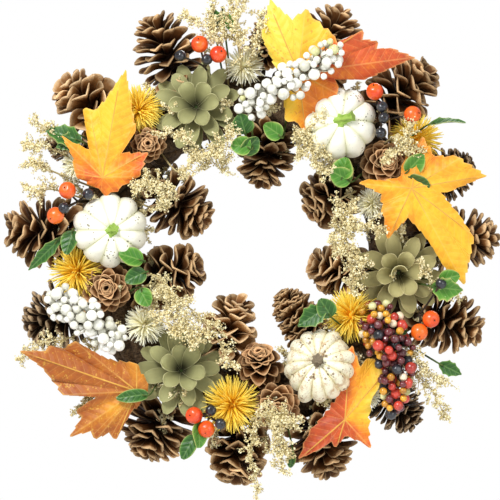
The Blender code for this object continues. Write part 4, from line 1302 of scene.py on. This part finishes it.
def scattered(path, girths, radii, generator, squeeze=0.9):
    """Centres for berries round a path, big ones first, that barely press on each other."""
    centres, sizes = [], []
    lengths = np.concatenate([[0], np.cumsum(np.linalg.norm(np.diff(path, axis=0), axis=1))])
    for radius in sorted(radii, reverse=True):
        for attempt in range(300):
            place = generator.uniform(0.0, 1.0) * lengths[-1]
            core = np.array([np.interp(place, lengths, path[:, axis]) for axis in range(3)])
            way = unit(generator.normal(size=3))
            girth = np.interp(place / lengths[-1], np.linspace(0, 1, len(girths)), girths) * MM
            centre = core + way * girth * generator.uniform(0.25, 1.0) * np.array([1.0, 0.7, 1.0])
            if not centres:
                break
            gaps = np.linalg.norm(np.array(centres) - centre, axis=1)
            if (gaps > squeeze * (np.array(sizes) + radius)).all():
                break
        else:
            continue
        centres.append(centre)
        sizes.append(radius)
    return np.array(centres), np.array(sizes)


def add_berries(shape, centres, sizes, away_from, look, generator, stretch=1.0, dents=True):
    """Adds round berries whose stalk ends face a point, each with a small dark tip."""
    ways = unit(centres - away_from)
    turns = frames_along(ways, generator)
    scales = np.stack([sizes, sizes, sizes * stretch], -1)
    tones = generator.normal(size=len(sizes)) * 0.5
    template = BALL
    if dents:
        points = BALL[0].copy()
        near = np.exp(-((1 - points[:, 2]) / 0.05) ** 2)
        points[:, 2] -= 0.16 * near
        template = (points, BALL[1])
    add_stamps(shape, template, centres, scales, turns, look, tones)
    return ways


def branched_stems(shape, path, girth, centres, sizes, look, generator):
    """Adds a main stem along a path and a thin stalk to each berry."""
    add_stem(shape, path, girth, 8, look, 3, 0.1)
    for centre, size in zip(centres, sizes):
        apart = np.linalg.norm(path - centre, axis=1)
        index = max(0, apart.argmin() - 2)
        start = path[index]
        bend = (start + centre) / 2 + generator.normal(size=3) * 0.8 * MM
        stalk = smooth_path([start, bend, centre - unit(centre - start) * size * 0.6], 3)
        add_stem(shape, stalk, 0.38 * MM, 5, look)


def build_white_spray(name, root, stations, count, seed):
    """Builds a spray of off-white berries on grey twigs."""
    generator = np.random.default_rng(seed)
    shape = Shape()
    path = smooth_path([seat(*root), *[spot(*station) for station in stations]], 8)
    berry_path = path[9:]
    radii = (2.3 + 2.1 * generator.random(count) ** 1.7) * MM
    centres, sizes = scattered(berry_path, (7, 13, 7, 12, 14, 8, 14, 6), radii, generator, 0.98)
    middle = berry_path[np.linalg.norm(centres[:, None] - berry_path[None], axis=2).argmin(axis=1)]
    greenish = generator.random(len(sizes)) < 0.03
    for chosen, look in ((~greenish, 0), (greenish, 1)):
        if chosen.any():
            add_berries(shape, centres[chosen], sizes[chosen], middle[chosen], look, generator)
    branched_stems(shape, path, np.linspace(1.4, 0.6, len(path)) * MM, centres, sizes, 2, generator)
    shape.make("detailed_" + name, [WHITE_BERRY, GREEN_BERRY, GREY_TWIG], "white_berry", [name])


def build_mixed_spray(name, root, stations, seed):
    """Builds a spray of small lacquered berries in autumn colours."""
    generator = np.random.default_rng(seed)
    shape = Shape()
    path = smooth_path([seat(*root), *[spot(*station) for station in stations]], 8)
    berry_path = path[8:]
    kinds = ((WINE_BERRY, 0.40, 2.2, 3.2), (MUSTARD_BERRY, 0.24, 2.3, 3.0), (RED_BERRY, 0.17, 3.0, 4.4),
             (BLACK_BERRY, 0.10, 3.0, 4.2), (CREAM_BERRY, 0.06, 2.8, 3.4), (GREEN_BERRY, 0.03, 2.4, 3.2))
    looks = [kind[0] for kind in kinds]
    total = 150
    chosen, radii = [], []
    for index, (look, share, small, large) in enumerate(kinds):
        for berry in range(int(round(total * share))):
            chosen.append(index)
            radii.append(generator.uniform(small, large) * MM)
    order = np.argsort(radii)[::-1]
    centres, sizes = scattered(berry_path, (19, 18, 16, 14, 12, 9), np.array(radii), generator, 0.9)
    chosen = np.array(chosen)[order][:len(sizes)]
    middle = berry_path[np.linalg.norm(centres[:, None] - berry_path[None], axis=2).argmin(axis=1)]
    for index in range(len(kinds)):
        which = chosen == index
        if which.any():
            add_berries(shape, centres[which], sizes[which], middle[which], index, generator)
    branched_stems(shape, path, np.linspace(1.6, 0.7, len(path)) * MM, centres, sizes, len(kinds), generator)
    shape.make("detailed_" + name, [*looks, TWIG], "mixed_berry", [name])


def build_pick(name, root, berries, seed):
    """Builds a pick of black (0), orange (1) and red (2) berries on one forked wire."""
    generator = np.random.default_rng(seed)
    shape = Shape()
    centres = np.array([spot(clock, across, height) for clock, across, height, big in berries])
    sizes = np.array([(6.2 if berry[3] else 4.1) for berry in berries]) * MM
    start = seat(*root)
    fork = start + (centres.mean(axis=0) - start) * 0.55
    for index, berry in enumerate(berries):
        chosen = slice(index, index + 1)
        look = (1, 0, 3)[berry[3]]
        add_berries(shape, centres[chosen], sizes[chosen], fork, look, generator, 1.03 if berry[3] else 1.0)
        path = smooth_path([start, fork, centres[index]], 6)
        add_stem(shape, path, 0.75 * MM, 8, 2)
        # A little dry crown at the berry's end.
        way = unit(centres[index] - fork)
        crown = centres[index] + way * sizes[index] * 0.97
        turns = frames_along(unit(way + generator.normal(size=(5, 3)) * 0.9), generator)
        scales = np.tile([0.28, 0.28, 0.95], (5, 1)) * MM
        add_stamps(shape, NUB, np.tile(crown, (5, 1)), scales, turns, 2)
    shape.make("detailed_" + name, [ORANGE_BERRY, BLACK_BERRY, TWIG, SCARLET_BERRY], "orange_berry", [name])


WHITE_SPRAYS = (
    ("white_berry_spray_top", (358, -6), ((357, -6, 28), (5, 5, 40), (14, 19, 43), (23, 49, 41)), 88),
    ("white_berry_spray_left", (237, 20), ((236, 11, 24), (243, 15, 33), (250, 25, 34), (256, 37, 28)), 80),
)
MIXED_SPRAY = ((122, 0), ((121, 0, 18), (123, 11, 30), (130, 28, 32), (138, 47, 25)))
PICKS = (
    ("berry_pick_1", (346, 78), ((346, 46, 27, 1), (347, 34, 30, 0), (340, 42, 28, 0), (350.5, 36, 29, 2))),
    ("berry_pick_2", (287, 60), ((289, 17, 30, 0), (288, 32, 31, 1), (280, 36, 30, 1), (282.6, 31, 33, 0))),
    ("berry_pick_3", (194, 52), ((194, 12, 30, 0), (199, 19, 30, 2), (194, 26, 28, 1), (190, 20, 32, 0))),
    ("berry_pick_4", (46, 60), ((48, 19, 30, 0), (38, 38, 27, 1), (50, 45, 28, 1), (42.5, 33, 28, 0),
                                (45.2, 28, 30, 0))),
    ("berry_pick_5", (114, 62), ((116, 28, 28, 1), (111, 32, 28, 1), (100, 32, 30, 0))),
)


# ---------------------------------------------------------------- dried filler

# Sprigs: root and tip (x, z, height) in mm, bow sideways, width of the spray, florets.
SPRIGS = (
    ((-30, 62, 22), (-58, 84, 34), 4, 14, 420), ((-22, 58, 22), (-12, 86, 34), -4, 14, 380),
    ((-62, 46, 24), (-84, 44, 32), 5, 13, 400), ((-136, 76, 12), (-156, 92, 18), 4, 12, 340),
    ((-144, 44, 12), (-162, 46, 12), -4, 11, 280), ((-34, 150, 18), (-14, 182, 22), 5, 12, 320),
    ((-10, 150, 16), (-28, 176, 18), -6, 13, 340), ((34, 66, 22), (50, 96, 34), -5, 14, 420),
    ((60, 60, 22), (34, 84, 30), 4, 12, 320), ((96, 66, 26), (116, 92, 30), 5, 13, 360),
    ((62, 34, 24), (90, 16, 36), 6, 15, 440), ((60, 24, 24), (72, -30, 34), -7, 16, 480),
    ((-66, -24, 24), (-38, -66, 36), 6, 17, 520), ((-60, -34, 24), (-14, -84, 34), -8, 15, 480),
    ((10, -112, 24), (32, -122, 30), 6, 15, 420), ((10, -118, 22), (22, -160, 22), -6, 17, 480),
    ((4, -122, 22), (6, -172, 14), 5, 13, 360), ((114, -70, 22), (142, -94, 20), 6, 17, 460),
    ((110, -84, 20), (140, -120, 14), -5, 14, 380), ((-132, -64, 14), (-166, -78, 10), 4, 12, 260),
    ((-104, -104, 14), (-126, -118, 12), 4, 10, 220), ((120, -10, 20), (150, -34, 20), 4, 10, 220),
    ((0, 140, 18), (6, 170, 22), 4, 13, 380), ((-20, 146, 20), (-48, 168, 26), 5, 12, 340),
    ((-8, 144, 24), (-4, 180, 24), -4, 13, 380), ((-146, 58, 10), (-162, 62, 10), 3, 11, 280),
    ((-146, 74, 12), (-162, 78, 12), -3, 11, 280), ((-70, 30, 22), (-58, 44, 30), 3, 11, 280),
    ((-80, 48, 26), (-62, 36, 32), -3, 11, 280), ((-76, -44, 26), (-32, -58, 38), 5, 14, 420),
    ((-70, -18, 28), (-50, -50, 36), -4, 13, 380), ((22, -116, 26), (26, -146, 24), 4, 13, 380),
    ((58, 12, 28), (84, -8, 34), 4, 13, 380), ((72, 34, 28), (62, 0, 32), -4, 12, 340),
    ((42, 84, 26), (56, 54, 32), 4, 12, 340), ((-52, 56, 24), (-24, 68, 36), -4, 14, 420),
    ((104, 82, 24), (122, 72, 30), 3, 11, 280),
)


SHORT_SPRIGS = 66
SPRIG_PIECES = 9  # the sprigs are shared out over this many pieces


def short_sprigs(generator):
    """Places for the short sprigs that fill the ring between everything else."""
    places = []
    for index in range(SHORT_SPRIGS):
        clock = index * 360 / SHORT_SPRIGS + generator.uniform(-2, 2)
        turn = (-62, 8, 62)[index % 3] + generator.uniform(-18, 18)
        way = FORWARD * cos(radians(turn)) + outward(clock) * sin(radians(turn))
        foot = CENTRE + outward(clock) * RING + FORWARD * TUBE_BACK + way * TUBE
        lean = unit(way + np.cross(FORWARD, outward(clock)) * generator.uniform(-0.9, 0.9))
        places.append((foot, foot + lean * generator.uniform(13, 21) * MM, generator.uniform(-3, 3), 10, 170))
    return places


def build_sprigs():
    """Builds the sprigs of tiny dried flowers, a few to a piece."""
    generator = np.random.default_rng(31)
    shapes = [Shape() for number in range(SPRIG_PIECES)]
    sprigs = [(flat_spot(*root), flat_spot(*tip), *rest) for root, tip, *rest in SPRIGS]
    sprigs += short_sprigs(generator)
    for number, (start, end, bow, width, florets) in enumerate(sprigs):
        shape = shapes[number * SPRIG_PIECES // len(sprigs)]
        way = unit(end - start)
        side = unit(np.cross(way, FORWARD))
        middle = (start + end) / 2 + side * bow * MM + FORWARD * 3 * MM
        path = smooth_path([rooted(start), start, middle, end], 7)
        add_stem(shape, path, np.linspace(0.8, 0.3, len(path)) * MM, 6, 1)
        twigs = 26 if florets > 200 else 12
        share = florets * 7 // 4 // twigs
        for twig in range(twigs):
            place = 0.28 + 0.72 * twig / (twigs - 1)
            index = place * (len(path) - 1)
            base = np.array([np.interp(index, np.arange(len(path)), path[:, axis]) for axis in range(3)])
            lean = unit(way * 0.7 + unit(generator.normal(size=3)) * 0.9 + FORWARD * 0.15)
            size = width * MM * generator.uniform(0.5, 1.05) * (1.15 - 0.55 * place)
            out = base + lean * size + UP * generator.normal() * 1.5 * MM
            bend = (base + out) / 2 + generator.normal(size=3) * 1.0 * MM
            stalk = smooth_path([base, bend, out], 3)
            add_stem(shape, stalk, np.linspace(0.34, 0.2, len(stalk)) * MM, 4, 1)
            picks = generator.random(share) ** 0.7
            centres = np.stack([np.interp(picks * 6, np.arange(7), stalk[:, axis]) for axis in range(3)], -1)
            centres = centres + generator.normal(size=centres.shape) * 0.085 * min(width, 14) * MM
            turns = frames_along(generator.normal(size=centres.shape), generator)
            small = generator.uniform(0.42, 0.92, (share, 1)) * MM
            scales = small * generator.uniform(0.6, 1.5, (share, 3))
            add_stamps(shape, NUB, centres, scales, turns, 0, generator.normal(size=share) * 1.6,
                       generator.uniform(0.25, 0.9, share))
    for number, shape in enumerate(shapes):
        shape.make(f"dried_sprigs_{number + 1}", [FLORET, STRAW_TWIG], "pale_straw")


# ---------------------------------------------------------------- the vine ring

TIE_STEPS, TIE_SIDES = 40, 6
TIE_CLOCKS = (20, 52, 84, 118, 150, 182, 216, 248, 280, 312, 344)


def build_vine_ring():
    """Builds the ring as a bundle of vines that wind round each other, with its ties."""
    generator = np.random.default_rng(5)
    shape = Shape()
    steps = 220
    clocks = np.linspace(0, 360, steps, endpoint=False)
    columns = 12

    def lay(strand_radius, reach, start, turns, lumps):
        """Lays one vine round the ring while it winds round the bundle's middle."""
        angle = start + radians(1) * clocks * turns
        wander = 1 + 0.06 * np.sin(np.radians(clocks) * 5 + start * 3)
        across = reach * np.cos(angle) * wander
        forward = np.maximum(reach * np.sin(angle) * wander, -(TUBE_BACK - strand_radius))
        outs = np.stack([outward(clock) for clock in clocks])
        path = CENTRE + outs * (RING + across)[:, None] + FORWARD * (TUBE_BACK + forward)[:, None]
        ahead = unit(np.roll(path, -1, axis=0) - np.roll(path, 1, axis=0))
        side = unit(np.cross(ahead, FORWARD))
        other = np.cross(ahead, side)
        rounds = np.arange(columns) * 2 * pi / columns
        girth = strand_radius * (1 + lumps * np.sin(np.radians(clocks) * 23 + start * 7) ** 8)
        ring = 1 + 0.08 * np.cos(3 * rounds + start)
        rings = (np.cos(rounds) * ring)[None, :, None] * side[:, None, :]
        rings = rings + (np.sin(rounds) * ring)[None, :, None] * other[:, None, :]
        rings = path[:, None, :] + rings * girth[:, None, None]
        faces = cells(steps + 1, columns, True) % (steps * columns)
        share = np.repeat(np.abs(clocks / 180 - 1), columns)
        edge = np.tile(np.arange(columns) / columns, steps)
        shape.add((rings.reshape(-1, 3), faces), 0, share * steps / 40, edge, generator.normal() * 0.5)

    for index in range(9):
        lay(5.6 * MM, TUBE - 6.0 * MM, 2 * pi * index / 9, 3, 0.10)
    for index in range(4):
        lay(5.2 * MM, TUBE * 0.36, 2 * pi * index / 4, -2, 0.05)

    for clock in TIE_CLOCKS:
        for offset in (-0.6, 0.0, 0.6):
            angles = np.linspace(0, 2 * pi, TIE_STEPS, endpoint=False)
            reach = TUBE + 0.2 * MM
            across = reach * np.cos(angles)
            forward = np.maximum(reach * np.sin(angles), -(TUBE_BACK - 0.5 * MM))
            turn = clock + offset + 0.25 * np.sin(angles * 2)
            path = np.stack([CENTRE + outward(c) * (RING + a) + FORWARD * (TUBE_BACK + f)
                             for c, a, f in zip(turn, across, forward)])
            ahead = unit(np.roll(path, -1, axis=0) - np.roll(path, 1, axis=0))
            side = np.cross(ahead, unit(np.cross(outward(clock), FORWARD)))
            other = np.cross(ahead, side)
            rounds = np.arange(TIE_SIDES) * 2 * pi / TIE_SIDES
            rings = path[:, None] + 0.45 * MM * (np.cos(rounds)[None, :, None] * side[:, None]
                                                 + np.sin(rounds)[None, :, None] * other[:, None])
            faces = cells(TIE_STEPS + 1, TIE_SIDES, True) % (TIE_STEPS * TIE_SIDES)
            shape.add((rings.reshape(-1, 3), faces), 1)
    shape.make("wound_vine_ring", [BARK, WIRE], "vine", ["vine_ring"])


# ---------------------------------------------------------------- light, floor and camera

def build_floor():
    """A pale floor under the wreath."""
    made, tree, shader = start_look("floor", 0.8, 0.2)
    colour = patched(tree, rgb(0.86, 0.86, 0.85), (0.83, 0.83, 0.82), 4.0, 0.5)[0]
    finish_look(tree, shader, colour)
    mesh = bpy.data.meshes.new("floor")
    size, level = 0.9, -0.46
    corners = [(-size, -size, level), (size, -size, level), (size, size, level), (-size, size, level)]
    mesh.from_pydata(corners, [], [(0, 1, 2, 3)])
    mesh.materials.append(made)
    floor = bpy.data.objects.new("floor", mesh)
    bpy.context.scene.collection.objects.link(floor)


def add_light(name, place, size, power, colour=(1, 1, 1)):
    """Adds a soft square light that faces the wreath."""
    light = bpy.data.lights.new(name, "AREA")
    light.energy = power
    light.size = size
    light.color = colour
    lamp = bpy.data.objects.new(name, light)
    lamp.location = place
    lamp.rotation_mode = "QUATERNION"
    lamp.rotation_quaternion = (Vector(CENTRE) - Vector(place)).to_track_quat("-Z", "Y")
    bpy.context.scene.collection.objects.link(lamp)


def build_light_and_camera():
    """A bright even room seen as white, two soft lights, and a camera square on to the front."""
    world = bpy.data.worlds.new("room")
    world.use_nodes = True
    tree = world.node_tree
    tree.nodes.clear()
    seen = node(tree, "ShaderNodeLightPath").outputs["Is Camera Ray"]
    room = node(tree, "ShaderNodeBackground", {"Color": rgb(1, 1, 1), "Strength": 0.46})
    white = node(tree, "ShaderNodeBackground", {"Color": rgb(1, 1, 1), "Strength": 1.0})
    mixed = node(tree, "ShaderNodeMixShader", {0: seen, 1: room.outputs[0], 2: white.outputs[0]})
    out = node(tree, "ShaderNodeOutputWorld")
    tree.links.new(mixed.outputs[0], out.inputs["Surface"])
    bpy.context.scene.world = world
    bpy.context.scene.view_settings.view_transform = "Standard"
    add_light("key", (-0.7, -1.3, 0.9), 0.6, 32)
    add_light("fill", (1.1, -1.2, 0.1), 1.0, 8)
    add_light("back", (0.4, 1.2, 0.8), 0.8, 9)

    camera = bpy.data.cameras.new("camera")
    camera.lens = 294
    camera.clip_start = 0.1
    camera.clip_end = 20
    eye = bpy.data.objects.new("camera", camera)
    eye.location = (-0.0007, -3.0, float(CENTRE[2]))
    eye.rotation_euler = (pi / 2, 0, 0)
    bpy.context.scene.collection.objects.link(eye)
    bpy.context.scene.camera = eye


# ---------------------------------------------------------------- everything

build_light_and_camera()
build_floor()
build_vine_ring()
for number, name in enumerate(sorted(CONES)):
    build_cone(name, 100 + number)
build_pumpkin("white_pumpkin_left", 10, 0.10, WHITE_SKIN, PUMPKIN_STEM, (0.3, 0.4), 1)
build_pumpkin("white_pumpkin_right", 9, 0.115, WHITE_SKIN, PUMPKIN_STEM, (0.9, 0.3), 2)
build_pumpkin("mottled_pumpkin", 14, 0.10, MOTTLED_SKIN, GREY_STEM, (0.1, 0.1), 3)
build_flower("wood_flower_top", SAGE, 11, False)
build_flower("wood_flower_right", OLIVE, 12, True)
build_flower("wood_flower_bottom", SAGE, 13, False)
for number, reach in enumerate((1.3, 1.45, 1.45, 1.4, 1.4), 1):
    build_thistle(f"yellow_thistle_{number}", YELLOW, 440, 0.5, reach, 122, 1.1, "yellow_straw", 40 + number)
for number, reach in enumerate((1.4, 1.1, 1.4, 1.15, 1.2), 1):
    build_thistle(f"straw_thistle_{number}", STRAW, 210, 0.58, reach, 115, 0.4, "pale_straw", 50 + number)
for number, leaf in enumerate(MAPLE_LEAVES):
    build_maple_leaf(*leaf, 60 + number)
build_green_leaves()
for number, spray in enumerate(WHITE_SPRAYS):
    build_white_spray(*spray, 70 + number)
build_mixed_spray("mixed_berry_spray", *MIXED_SPRAY, 75)
for number, pick in enumerate(PICKS):
    build_pick(*pick, 80 + number)
build_sprigs()
for name in ("hanger_band", "hanging_loop"):
    wire = frame["nodes"][name].data
    wire.materials.clear()
    wire.materials.append(WIRE)
